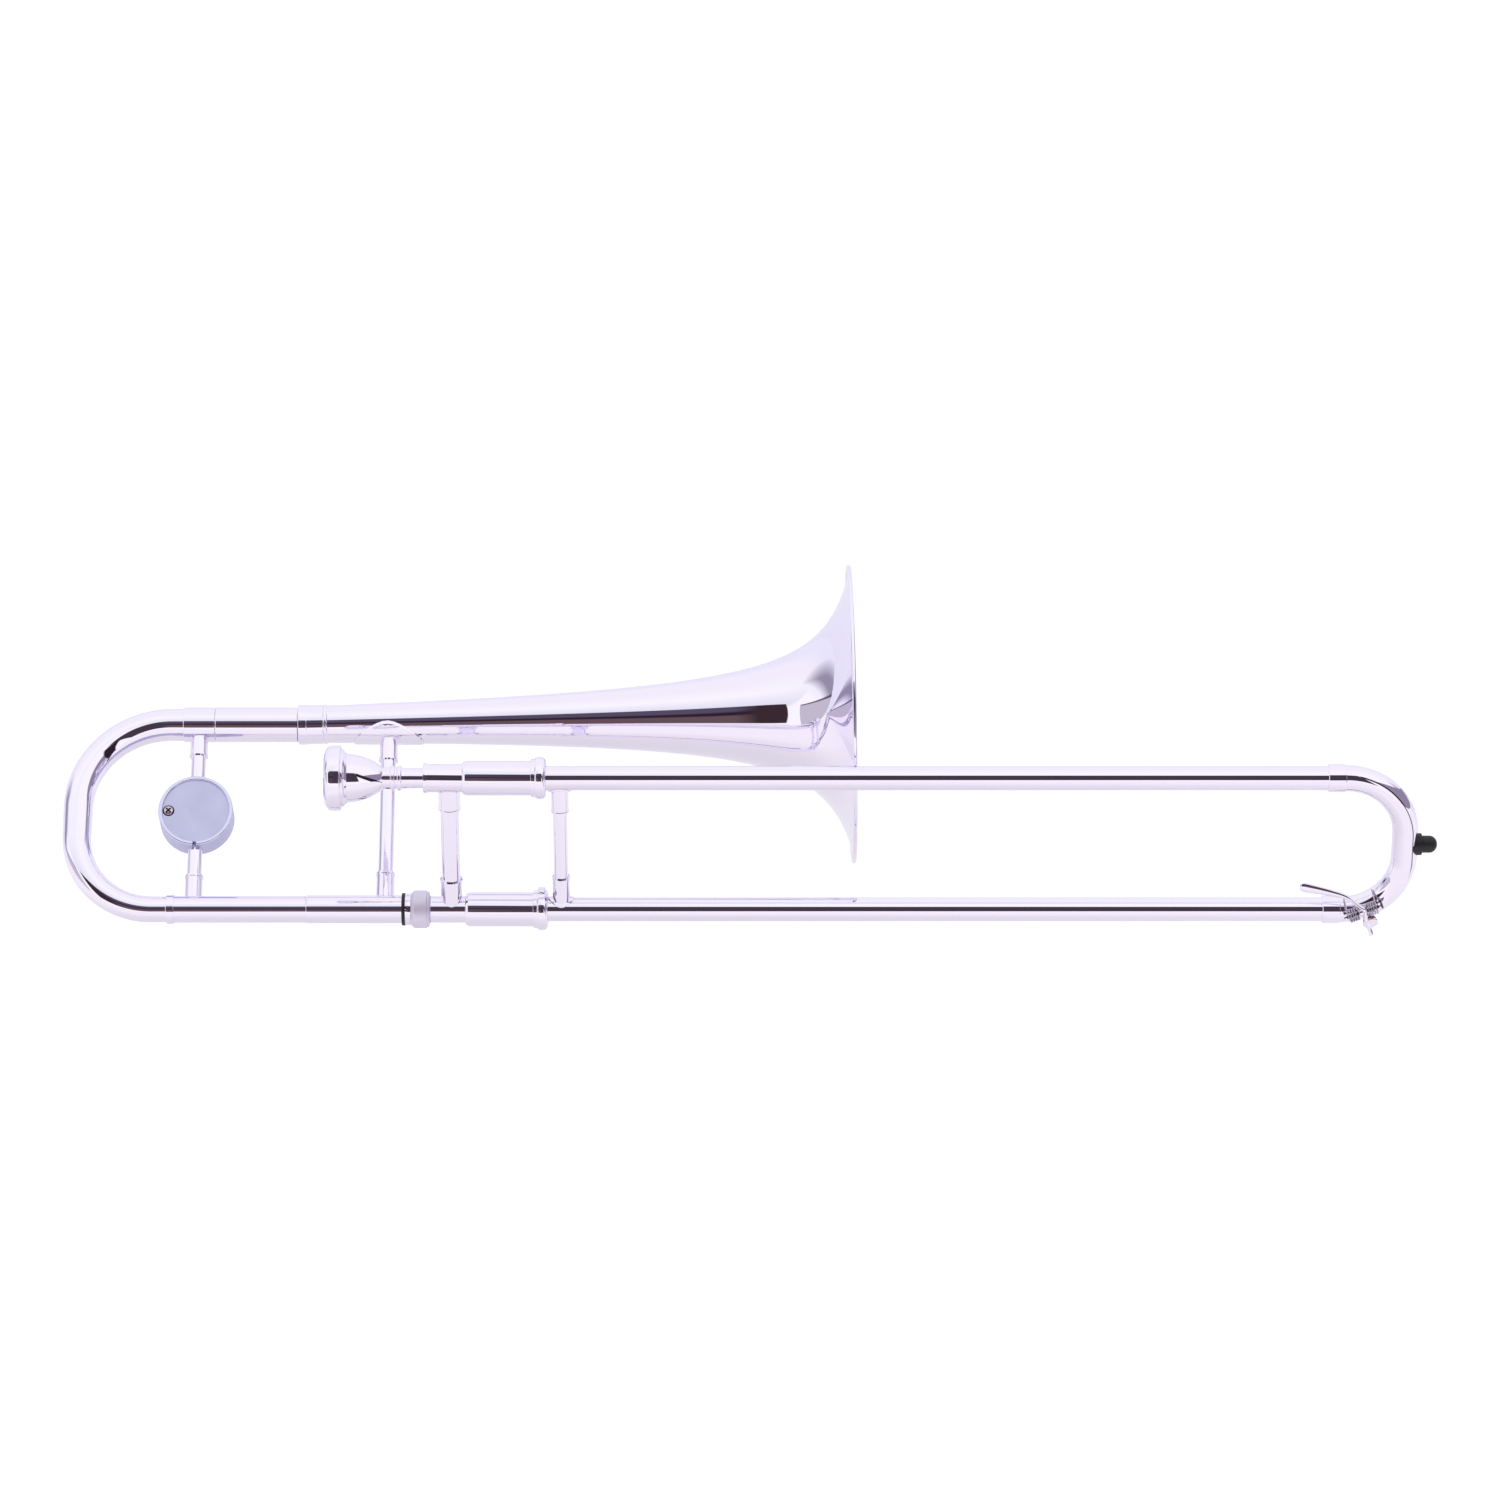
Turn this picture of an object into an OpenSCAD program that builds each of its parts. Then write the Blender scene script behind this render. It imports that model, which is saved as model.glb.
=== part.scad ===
// Alto trombone in E flat: hand slide, tuning slide with counterweight, bell and mouthpiece.
// Millimetres. The origin is the middle of the hand brace, where the left hand holds it.
// +X runs along the hand slide to its bow, and the slide's two legs lie in the XZ plane.

/* [Hand slide] */
// Distance between the axes of the slide's two legs
slide_spacing = 87.5; // [80:0.5:100]
// Bore of the inner slide tubes
slide_bore = 12.3; // [11.4:0.1:13]
// Wall of the inner slide tubes
inner_wall = 0.4; // [0.3:0.05:0.5]
// How far the stocking stands out from the inner tube
stocking_step = 0.15; // [0.1:0.05:0.2]
// Length of the stocking at the end of each inner tube
stocking_len = 110; // [60:5:150]
// Wall of the outer slide tubes
outer_wall = 0.4; // [0.3:0.05:0.5]
// Length of the outer slide tubes
outer_len = 500; // [470:5:530]
// Distance from the end of the inner tubes to the end of the outer tubes, slide closed
inner_short = 8; // [5:1:12]
// Radius of each quarter bend of the slide bow, on its centre line
bow_bend = 36; // [32:0.5:38]
// Straight length between an outer tube and the bend
bow_lead = 5.7; // [5.6:0.1:9]
// Outer diameter of the slide bow
bow_od = 15.4; // [15.2:0.1:16]
// Wall of the slide bow
bow_wall = 0.6; // [0.5:0.05:0.7]
// Length of the ferrules at the slide bow
bow_ferrule_len = 10.5; // [9.5:0.5:13]
// Wall of the ferrules at the slide bow, over the bow
bow_ferrule_wall = 0.5; // [0.4:0.05:0.8]

/* [Cork barrels and braces] */
// Distance from the hand brace to the shoulder of the cork barrels
barrel_x = 7.8; // [7.4:0.1:10]
// Outer diameter of the cork barrels
barrel_od = 20.3; // [19.8:0.1:22]
// Length of the cork barrels
barrel_len = 44.2; // [38:0.5:56]
// Wall of the cork barrels
barrel_wall = 0.75; // [0.6:0.05:0.9]
// Thickness of the cork in each barrel
cork_len = 6; // [4:0.5:8]
// Outer diameter of the bead on the barrel rings
ring_od = 24.8; // [24:0.1:27]
// Length of the barrel rings
ring_len = 8.7; // [8.2:0.1:10]
// Outer diameter of the upper slide receiver
receiver_od = 16.6; // [16:0.1:17.6]
// Length of the upper slide receiver, from its mouth to the barrel
receiver_len = 22.7; // [21.5:0.1:26]
// Outer diameter of the lower slide receiver
lower_receiver_od = 15.9; // [15.4:0.1:16.6]
// Outer diameter of the hand brace tube
hand_brace_od = 10.8; // [9.6:0.1:11.6]
// Reach of the hand brace sockets from the leg axes
hand_socket_reach = 20.5; // [17:0.5:26]
// Wall of the brace sockets
socket_wall = 0.86; // [0.7:0.02:1]
// Distance from the hand brace to the outer slide brace
slide_brace_x = 64.4; // [64:0.2:90]
// Outer diameter of the outer slide brace tube
slide_brace_od = 8.4; // [7.4:0.1:9]
// Reach of the outer slide brace sockets from the leg axes
slide_socket_reach = 22; // [18:0.5:26]
// Wall of the brace tubes
brace_wall = 0.8; // [0.6:0.1:1.2]
// Width of the pointed foot plates on the outer slide
foot_width = 11.6; // [10.8:0.1:13]
// Thickness of the foot plates
foot_wall = 0.8; // [0.6:0.1:1.2]

/* [Joint to the bell] */
// Length of the tapered tenon beyond its collar
tenon_len = 18; // [14:0.5:20]
// Diameter of the tenon at its thin end
tenon_tip_od = 13.8; // [13.6:0.1:14.2]
// Diameter of the tenon at its collar
tenon_base_od = 14.7; // [14.4:0.1:15]
// Outer diameter of the lock nut
nut_od = 22.3; // [21.4:0.1:25]
// Length of the lock nut
nut_len = 11.2; // [10:0.1:14]
// Outer diameter over the thread of the bell receiver
thread_od = 18; // [17.8:0.1:18.4]
// Outer diameter of the black ring on the bell receiver
seal_od = 19.2; // [18.8:0.1:20]
// Outer diameter of the neckpipe
neck_od = 16.7; // [16.5:0.1:17.4]

/* [Bell section] */
// Angle between the slide's plane and the bell's plane
bell_angle = 52; // [51:1:90]
// Distance between the neckpipe's axis and the tuning leg's axis
leg_gap = 118.9; // [114:0.1:130]
// Diameter of the bell over its rim
bell_d = 178.2; // [150:0.1:180]
// Length of the bell from its throat to its rim
bell_len = 322.6; // [280:0.2:330]
// Exponent of the bell's flare
flare_power = 0.64; // [0.6:0.01:0.68]
// Distance from the rim to where the flare's curve would be endless
flare_past = 12.8; // [11:0.1:15]
// Angle the bell's axis leans out from the tuning leg's axis
bell_lean = 1.19; // [0.8:0.01:1.6]
// Wall of the bell
bell_wall = 0.6; // [0.5:0.05:0.8]
// Diameter of the rolled rim's section
rim_bead = 2.6; // [2:0.1:3.2]
// Place of the bell throat's ferrule, left of the hand brace
bell_ferrule_x = 94; // [90:0.5:98]
// Length of the bell throat's ferrule
bell_ferrule_len = 18; // [14:0.5:20]
// Wall of the bell throat's ferrule, over the bell
bell_ferrule_wall = 0.67; // [0.6:0.01:0.9]
// Place of the bell brace, left of the hand brace
bell_brace_x = 39.6; // [38.6:0.1:48]
// Outer diameter of the bell brace tube
bell_brace_od = 9; // [8:0.1:10]
// Reach of the bell brace socket from the neckpipe's axis
bell_socket_reach = 22.6; // [19:0.2:28]
// Length of the bell brace's foot plate on the bell
bell_foot_len = 41.5; // [34:0.5:46]
// Width of the bell brace's oval foot plate on the bell
bell_foot_width = 23.4; // [20:0.2:23.8]

/* [Tuning slide] */
// Outer diameter of the upper tuning sleeve
upper_sleeve_od = 20.8; // [20.2:0.1:21.2]
// Length of the upper tuning sleeve
upper_sleeve_len = 48.6; // [44:0.2:52]
// Wall of the tuning slide's tubes
tuning_wall = 0.45; // [0.4:0.05:0.6]
// Outer diameter of the lower tuning sleeve
lower_sleeve_od = 15.9; // [15.6:0.1:16.2]
// Length of the lower tuning sleeve
lower_sleeve_len = 79.7; // [74:0.1:84]
// Place of the neckpipe's shoulder, left of the hand brace
neck_shoulder_x = 85.6; // [80:0.2:88]
// Radius of the tuning bow's lower bend, on its centre line
low_bend = 46; // [42:0.5:50]
// Radius of the tuning bow's upper bend, on its centre line
high_bend = 54; // [50:0.5:57]
// Straight length of the tuning bow outside its upper ferrule
high_straight = 6.9; // [5:0.1:8]
// Outer diameter of the tuning bow at its lower end
tuning_bow_low_od = 15.3; // [14.8:0.1:15.6]
// Outer diameter of the tuning bow at its upper end
tuning_bow_high_od = 19.6; // [19.2:0.1:19.8]
// Length of the tuning bow's upper ferrule
tuning_ferrule_len = 18.8; // [17:0.2:22]

/* [Counterweight] */
// Diameter of the counterweight drum
drum_d = 44; // [38:0.5:48]
// Thickness of the counterweight drum
drum_thick = 16; // [12:0.5:18]
// Height of the drum's centre above the neckpipe's axis
drum_z = 60; // [56:0.5:63]
// Place of the drum and its braces, left of the hand brace
drum_x = 152.4; // [151.5:0.2:153.5]
// Outer diameter of the counterweight braces
weight_brace_od = 8.7; // [8:0.1:9.4]
// Reach of the counterweight brace sockets from the tube axes
weight_socket_reach = 21; // [18:0.2:24]

/* [Mouthpiece] */
// Diameter over the mouthpiece rim
mouth_rim_d = 38; // [36:0.2:40]
// Diameter of the cup at the rim
cup_d = 24.8; // [23.5:0.1:26]
// Depth of the cup
cup_depth = 23; // [19:0.5:25]
// Diameter of the throat
throat_d = 6.3; // [5.8:0.1:7]
// Length of the mouthpiece outside the receiver
mouth_out = 57.3; // [54:0.5:62]
// Length of the shank inside the receiver
shank_in = 20; // [16:0.5:20.5]
// Diameter of the shank at the receiver's mouth
shank_od = 12.1; // [11.8:0.1:12.4]

/* [Water key and bumper] */
// Angle round the slide bow from the lower leg to the water key
key_at = 22; // [16:1:24]
// Height of the pivot rod over the bow's centre line
rod_reach = 12.9; // [12.8:0.1:14]
// Diameter of the pivot rod
rod_d = 1.9; // [1.6:0.1:2.2]
// Diameter of the drain hole
drain_d = 4; // [3:0.2:5]
// Outer diameter of the drain nipple
nipple_d = 7.2; // [6.4:0.1:7.6]
// Height of the nipple's face over the bow's centre line
nipple_reach = 10.6; // [10:0.1:11]
// Diameter of the cork pad
cork_d = 7.8; // [7:0.1:8]
// Thickness of the cork pad
cork_thick = 2.4; // [2.1:0.1:2.6]
// Diameter of the spring's wire
wire_d = 0.9; // [0.7:0.05:0.9]
// Outer diameter of the spring's coils
coil_od = 8; // [7.4:0.1:8]
// Pitch of the spring's coils
coil_pitch = 1.45; // [1.35:0.05:1.45]
// Diameter of the rubber bumper's flange
bumper_d = 13; // [11:0.2:14]
// Length of the rubber bumper
bumper_len = 11.3; // [9:0.1:14]

/* [Hidden] */
$fn = 48;

// Clearances: a soldered or pressed joint, a running fit, and two parts that stop short
solder = 0.03;
run_fit = 0.05;
stop_gap = 0.3;
over = 1;

silver = [0.90, 0.89, 0.93];
satin = [0.74, 0.74, 0.86];
black = [0.07, 0.07, 0.08];
steel = [0.36, 0.34, 0.40];
cork = [0.62, 0.36, 0.26];

// Hand slide
inner_r = slide_bore / 2 + inner_wall;
stocking_r = inner_r + stocking_step;
outer_bore_r = stocking_r + run_fit;
outer_r = outer_bore_r + outer_wall;
cork_x = barrel_x + 2.2;
outer_x = cork_x + cork_len + stop_gap;
outer_end = outer_x + outer_len;
inner_end = outer_end - inner_short;
bend_x = outer_end + bow_lead;
bow_max_x = bend_x + bow_bend;
bow_r = bow_od / 2;
barrel_end = barrel_x + barrel_len;
ring_x = barrel_end - 4.2;
ring_end = ring_x + ring_len;
foot_len = 2 * (slide_brace_x - ring_end - stop_gap);
lip_bore_r = outer_r + 0.45;
barrel_r = barrel_od / 2;
barrel_bore_r = barrel_r - barrel_wall;

// Slide lock: a lug on the lower outer tube passes the notch in the lock's lip
lug_reach = 9.5;
lug_len = 1.5;
lug_width = 4;
lug_x = barrel_end + 0.35;
lock_room_r = lug_reach + stop_gap;
lip_x = lug_x + lug_len + stop_gap;

// Joint to the bell, measured from the lower receiver's left end
lower_receiver_x = -12.7;
neck_x = lower_receiver_x - 2.2;
collar_x = neck_x - 1;
collar_r = thread_od / 2 - 0.4;
tenon_x = collar_x - tenon_len;
tenon_neck_r = slide_bore / 2 + 1.15;
nut_x1 = lower_receiver_x - 0.2;
nut_x0 = nut_x1 - nut_len;
receiver_face_x = collar_x - stop_gap;
flange_x1 = nut_x0 - stop_gap;
flange_x0 = flange_x1 - 2.9;
seal_x0 = flange_x0 - 2.1;
flange_r = thread_od / 2 + 0.5;
spigot_len = 11;
spigot_r = lower_sleeve_od / 2 - tuning_wall - run_fit;
neck_bore_r = spigot_r + solder;

// Bell section, in the bell's own plane
bell_start = 8;
rim_at = bell_len + bell_start;
curve_steps = 56;
function flare_r(s) = bell_d / 2 * pow(flare_past / (rim_at + flare_past - s), flare_power);
function bell_s(i) = bell_start + bell_len * (1 - pow(1 - i / curve_steps, 2.2));
bell_ferrule_r = flare_r(bell_ferrule_len) + bell_ferrule_wall;
throat_step = 1.07;
bell_ferrule_bore_r = flare_r(bell_start) - throat_step;
function bell_axis_z(x) = leg_gap + (x + bell_ferrule_x) * tan(bell_lean);
bell_socket_z = bell_axis_z(-bell_brace_x) - 24.9;

// Tuning slide
upper_sleeve_r = upper_sleeve_od / 2;
upper_sleeve_x = -bell_ferrule_x - upper_sleeve_len;
inner_leg_r = upper_sleeve_r - tuning_wall - run_fit;
tuning_ferrule_x1 = upper_sleeve_x - stop_gap;
tuning_ferrule_x0 = tuning_ferrule_x1 - tuning_ferrule_len;
bow_seat = 8.7;
high_end_x = tuning_ferrule_x0 + bow_seat;
lower_sleeve_x1 = -neck_shoulder_x - stop_gap;
lower_sleeve_x0 = lower_sleeve_x1 - lower_sleeve_len;
lower_sleeve_r = lower_sleeve_od / 2;
high_bend_x = tuning_ferrule_x0 - high_straight;
low_bend_x = high_bend_x - (high_bend - low_bend);
side_len = leg_gap - low_bend - high_bend;
low_lead = lower_sleeve_x0 - low_bend_x;
high_lead = high_end_x - high_bend_x;
bow_len = low_lead + low_bend * PI / 2 + side_len + high_bend * PI / 2 + high_lead;

// Water key: the rod's and the pad's directions round the bow, above or below -Y
rod_tilt = 13;
pad_tilt = -29;
face_tilt = 28;
pad_shift = 1.5;
pad_gap = 0.05;
hinge_r = 2.1;
hinge_half = 2.2;
post_half = 10.6;
post_wall = 1.2;
arm_r = 1.15;
key_base = [bend_x + bow_bend * sin(key_at), 0, bow_bend * (1 - cos(key_at))];

// Solids of revolution about X, from x to x
module rod_x(r, x0, x1) { translate([x0, 0, 0]) rotate([0, 90, 0]) cylinder(r = r, h = x1 - x0); }

module tube_x(r, bore, x0, x1) {
    difference() {
        rod_x(r, x0, x1);
        rod_x(bore, x0 - over, x1 + over);
    }
}

// A turned shape about X, from points [x, radius]
module turned(points) { rotate([0, 90, 0]) rotate_extrude() polygon([for (p = points) [p[1], p[0]]]); }

module upper_leg() { translate([0, 0, slide_spacing / 2]) children(); }

module lower_leg() { translate([0, 0, -slide_spacing / 2]) children(); }

// The bell's plane turns about the lower leg, which is also the neckpipe
module bell_plane() { lower_leg() rotate([-bell_angle, 0, 0]) children(); }

module bell_line() { translate([-bell_ferrule_x, 0, leg_gap]) rotate([0, -bell_lean, 0]) children(); }

// A ferrule with both ends rounded off
function ferrule_points(r, bore, x0, x1, edge) = [
    [x0, bore], [x0, r - edge], [x0 + edge * 0.4, r - edge * 0.3], [x0 + edge, r],
    [x1 - edge, r], [x1 - edge * 0.4, r - edge * 0.3], [x1, r - edge], [x1, bore]];

module ferrule(r, bore, x0, x1, edge = 0.4) { turned(ferrule_points(r, bore, x0, x1, edge)); }

// A foot plate's outline: two arcs that meet in points
module pointed_outline(length, width) {
    arc_r = (length * length + width * width) / (4 * width);
    intersection() {
        translate([0, arc_r - width / 2]) circle(r = arc_r);
        translate([0, width / 2 - arc_r]) circle(r = arc_r);
    }
}

module oval_outline(length, width) {
    polygon([for (a = [0:10:350]) [length / 2 * cos(a), width / 2 * sin(a)]]);
}

// A brace socket that stands on a tube at x = 0, with a bored end, a bead and a saddle cut
module socket(tube_r, bore_r, reach, floor_at, wall = socket_wall) {
    socket_r = bore_r + wall;
    difference() {
        union() {
            cylinder(r = socket_r, h = reach);
            translate([0, 0, reach - 1.4]) cylinder(r = socket_r + 0.35, h = 1.4);
        }
        translate([0, 0, floor_at]) cylinder(r = bore_r, h = reach);
        rod_x(tube_r + solder, -socket_r - over, socket_r + over);
    }
}

module foot_plate(tube_r, length, width) {
    intersection() {
        tube_x(tube_r + solder + foot_wall, tube_r + solder, -length, length);
        linear_extrude(tube_r * 2) pointed_outline(length, width);
    }
}

// Mouthpiece
module mouthpiece() {
    face_x = -barrel_face() - mouth_out;
    rim_r = mouth_rim_d / 2;
    cup_r = cup_d / 2;
    throat_r = throat_d / 2;
    mouth_x = -barrel_face();
    tip_x = mouth_x + shank_in;
    tip_r = shank_od / 2 - shank_in / 40;
    bead_x = mouth_x - 15.6;
    body_r = rim_r - 4.9;
    neck_r = shank_od / 2 + 0.15;
    neck_x0 = face_x + 34;
    body_steps = 12;
    cup_steps = 12;
    color(silver) upper_leg() turned(concat(
        [[face_x + 0.9, cup_r + 0.3], [face_x + 0.25, cup_r + 1.1], [face_x, cup_r + 2.4],
            [face_x + 0.4, rim_r - 3.4], [face_x + 1.1, rim_r - 1.9], [face_x + 2.2, rim_r - 0.7],
            [face_x + 3.8, rim_r], [face_x + 9, rim_r], [face_x + 9.8, rim_r - 0.6],
            [face_x + 10.1, rim_r - 2.2], [face_x + 11, rim_r - 2.5], [face_x + 11.6, rim_r - 2.9],
            [face_x + 12.4, rim_r - 4], [face_x + 13.2, body_r + 0.3]],
        [for (i = [0:body_steps]) [face_x + 13.4 + (neck_x0 - face_x - 13.4) * i / body_steps,
            neck_r + (body_r - neck_r) * pow(cos(90 * i / body_steps), 0.8)]],
        [[bead_x - 3.4, neck_r], [bead_x - 3, neck_r + 0.9], [bead_x - 2, neck_r + 1.2],
            [bead_x - 1, neck_r + 0.9], [bead_x - 0.6, neck_r + 0.1],
            [bead_x + 0.4, neck_r + 0.1], [bead_x + 0.8, neck_r + 0.8], [bead_x + 1.8, neck_r + 1],
            [bead_x + 2.8, neck_r + 0.8], [bead_x + 3.2, shank_od / 2 + 0.1],
            [mouth_x - 0.5, shank_od / 2], [tip_x, tip_r], [tip_x, tip_r - 0.7]],
        [[face_x + cup_depth + 9, throat_r], [face_x + cup_depth + 3, throat_r]],
        [for (i = [cup_steps:-1:0]) [face_x + 1.4 + (cup_depth + 0.6) * i / cup_steps,
            throat_r + (cup_r - throat_r) * pow(1 - pow(i / cup_steps, 2.1), 0.75)]]));
}

function barrel_face() = receiver_len - barrel_x;

// Inner slide
module mouthpiece_receiver() {
    mouth_x = barrel_x - receiver_len;
    r = receiver_od / 2;
    entry_r = shank_od / 2 + run_fit;
    seat_x = mouth_x + shank_in + 0.6;
    seat_r = entry_r - (shank_in + 0.6) / 40;
    color(silver) upper_leg() turned([[mouth_x, entry_r], [mouth_x, r - 0.4], [mouth_x + 0.3, r + 0.5],
        [mouth_x + 2.2, r + 0.5], [mouth_x + 2.6, r], [barrel_x, r], [barrel_x, inner_r + solder],
        [seat_x, inner_r + solder], [seat_x, seat_r]]);
}

// The tapered pipe inside the upper inner tube, narrowest a little way in
module leadpipe() {
    start_x = barrel_x - receiver_len + shank_in + 0.8;
    pipe_len = 190;
    r = slide_bore / 2 - solder;
    color(silver) upper_leg() turned([[start_x, r - 1], [start_x, r], [start_x + pipe_len, r],
        [start_x + pipe_len, r - 0.25], [start_x + 60, r - 0.9], [start_x + 14, r - 1.2]]);
}

module inner_tube(start_x) {
    difference() {
        union() {
            rod_x(inner_r, start_x, inner_end);
            rod_x(stocking_r, inner_end - stocking_len, inner_end);
        }
        rod_x(slide_bore / 2, start_x - over, inner_end + over);
    }
}

upper_tube_x = barrel_x - receiver_len + shank_in + 0.8;
lower_tube_x = barrel_x - 6;
module inner_tube_upper() { color(silver) upper_leg() inner_tube(upper_tube_x); }

module inner_tube_lower() { color(silver) lower_leg() inner_tube(lower_tube_x); }

// A cork barrel: a rounded shoulder, an end wall on the inner tube, and an open sleeve
module cork_barrel(neck_r) {
    turned([[barrel_x, inner_r + solder], [barrel_x, neck_r], [barrel_x + 0.3, neck_r + 0.9],
        [barrel_x + 1.2, barrel_r - 0.5], [barrel_x + 2.4, barrel_r], [barrel_end, barrel_r],
        [barrel_end, barrel_bore_r], [cork_x, barrel_bore_r], [cork_x, inner_r + solder]]);
}

module cork_barrel_upper() { color(silver) upper_leg() cork_barrel(receiver_od / 2); }

module cork_barrel_lower() { color(silver) lower_leg() cork_barrel(lower_receiver_od / 2 + 0.3); }

module barrel_cork() {
    color(cork) tube_x(barrel_bore_r - solder, inner_r + solder, cork_x, cork_x + cork_len);
}

module barrel_cork_upper() { upper_leg() barrel_cork(); }

module barrel_cork_lower() { lower_leg() barrel_cork(); }

// The ring's outside: a step, then a rounded bead
function ring_outline(ring_r) = [[ring_x, ring_r - 1.6], [ring_x + 0.3, ring_r - 1.2],
    [ring_x + 2.3, ring_r - 1.2], [ring_x + 2.5, ring_r - 0.7], [ring_x + 3.4, ring_r - 0.15],
    [ring_x + 4.6, ring_r], [ring_x + 6.4, ring_r - 0.1], [ring_x + 7.6, ring_r - 0.6],
    [ring_end - 0.2, ring_r - 1.7], [ring_end, ring_r - 2.4]];

module barrel_ring() {
    seat_x = barrel_end + solder;
    color(silver) upper_leg() turned(concat(ring_outline(ring_od / 2),
        [[ring_end, lip_bore_r], [seat_x, lip_bore_r], [seat_x, barrel_r + solder],
            [ring_x, barrel_r + solder]]));
}

// The lock turns on the lower barrel; its notch lets the lug through when it stands open
module slide_lock() {
    seat_x = barrel_end + run_fit;
    notch_width = lug_width + 1.2;
    color(silver) lower_leg() difference() {
        union() {
            turned(concat(ring_outline(ring_od / 2), [[ring_end, lip_bore_r], [lip_x, lip_bore_r],
                [lip_x, lock_room_r], [seat_x, lock_room_r], [seat_x, barrel_r + run_fit],
                [ring_x, barrel_r + run_fit]]));
            translate([ring_x + 2.9, -2.6, ring_od / 2 - 1]) cube([4.4, 5.2, 2.4]);
        }
        translate([lip_x - over, -notch_width / 2, 0]) cube([ring_len, notch_width, lock_room_r]);
    }
}

module lower_receiver() {
    r = lower_receiver_od / 2;
    color(silver) lower_leg() turned([[lower_receiver_x, slide_bore / 2], [lower_receiver_x, r - 0.3],
        [lower_receiver_x + 0.4, r], [barrel_x, r], [barrel_x, inner_r + solder],
        [lower_tube_x - 0.1, inner_r + solder], [lower_tube_x - 0.1, slide_bore / 2]]);
}

module slide_tenon() {
    color(silver) lower_leg() turned([[tenon_x, slide_bore / 2], [tenon_x, tenon_tip_od / 2],
        [collar_x, tenon_base_od / 2], [collar_x, collar_r], [neck_x, collar_r], [neck_x, tenon_neck_r],
        [lower_receiver_x, tenon_neck_r], [lower_receiver_x, slide_bore / 2]]);
}

module lock_nut() {
    r = nut_od / 2;
    back_x = neck_x + run_fit;
    color(satin) lower_leg() turned([[nut_x0, thread_od / 2 + run_fit], [nut_x0, r - 1.1],
        [nut_x0 + 1, r], [nut_x1 - 1.6, r], [nut_x1 - 0.5, r - 1], [nut_x1, r - 2],
        [nut_x1, tenon_neck_r + run_fit], [back_x, tenon_neck_r + run_fit],
        [back_x, thread_od / 2 + run_fit]]);
}

// The hand brace's ends are turned down, so that its grip fills the space between the sockets
hand_brace_r = hand_brace_od / 2;
brace_shoulder = 0.3;
brace_floor = 10.5;
module hand_brace() {
    half = slide_spacing / 2 - brace_floor - solder;
    grip_half = slide_spacing / 2 - hand_socket_reach;
    color(silver) difference() {
        union() {
            translate([0, 0, -half]) cylinder(r = hand_brace_r - brace_shoulder, h = 2 * half);
            translate([0, 0, -grip_half]) cylinder(r = hand_brace_r, h = 2 * grip_half);
        }
        translate([0, 0, -half - over]) cylinder(r = hand_brace_r - brace_wall, h = 2 * (half + over));
    }
}

module hand_brace_socket(tube_r) {
    socket(tube_r, hand_brace_r - brace_shoulder + solder, hand_socket_reach, brace_floor,
        socket_wall + brace_shoulder);
}

module hand_brace_socket_upper() {
    color(silver) upper_leg() mirror([0, 0, 1]) hand_brace_socket(receiver_od / 2);
}

module hand_brace_socket_lower() { color(silver) lower_leg() hand_brace_socket(lower_receiver_od / 2); }

// Outer slide
module outer_tube_upper() { color(silver) upper_leg() tube_x(outer_r, outer_bore_r, outer_x, outer_end); }

module outer_tube_lower() { color(silver) lower_leg() tube_x(outer_r, outer_bore_r, outer_x, outer_end); }

slide_brace_r = slide_brace_od / 2;
module slide_brace() {
    half = slide_spacing / 2 - brace_floor - solder;
    color(silver) translate([slide_brace_x, 0, -half]) difference() {
        cylinder(r = slide_brace_r, h = 2 * half);
        translate([0, 0, -over]) cylinder(r = slide_brace_r - brace_wall, h = 2 * (half + over));
    }
}

module slide_brace_foot() {
    translate([slide_brace_x, 0, 0]) union() {
        socket(outer_r, slide_brace_r + solder, slide_socket_reach, brace_floor);
        foot_plate(outer_r, foot_len, foot_width);
    }
}

module slide_brace_foot_upper() { color(silver) upper_leg() mirror([0, 0, 1]) slide_brace_foot(); }

module slide_brace_foot_lower() { color(silver) lower_leg() slide_brace_foot(); }

module lock_lug() {
    color(silver) lower_leg() difference() {
        translate([lug_x, -lug_width / 2, 0]) cube([lug_len, lug_width, lug_reach]);
        rod_x(outer_r + solder, lug_x - over, lug_x + lug_len + over);
    }
}

module bow_ferrule() {
    x0 = outer_end - 5;
    x1 = x0 + bow_ferrule_len;
    difference() {
        ferrule(bow_r + solder + bow_ferrule_wall, outer_r + solder, x0, x1);
        rod_x(bow_r + solder, outer_end, x1 + over);
    }
}

module bow_ferrule_upper() { color(silver) upper_leg() bow_ferrule(); }

module bow_ferrule_lower() { color(silver) lower_leg() bow_ferrule(); }

// The slide bow's path, swept by a ring or a disc: lead, quarter bend, side, quarter bend, lead
module bow_path(r) {
    middle = slide_spacing - 2 * bow_bend;
    for (side = [0, 1]) mirror([0, 0, side]) {
        translate([bend_x, 0, bow_bend - slide_spacing / 2]) rotate([-90, 0, 0])
            rotate_extrude(angle = 90) translate([bow_bend, 0]) circle(r = r);
        translate([0, 0, -slide_spacing / 2]) rod_x(r, outer_end + solder, bend_x);
    }
    translate([bow_max_x, 0, -middle / 2]) cylinder(r = r, h = middle);
}

module slide_bow() {
    color(silver) difference() {
        bow_path(bow_r);
        bow_path(bow_r - bow_wall);
        for (side = [0, 1]) mirror([0, 0, side]) translate([0, 0, -slide_spacing / 2])
            rod_x(bow_r - bow_wall, outer_end - over, outer_end + over);
        pad_line() cylinder(r = drain_d / 2, h = rod_reach);
    }
}

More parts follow.
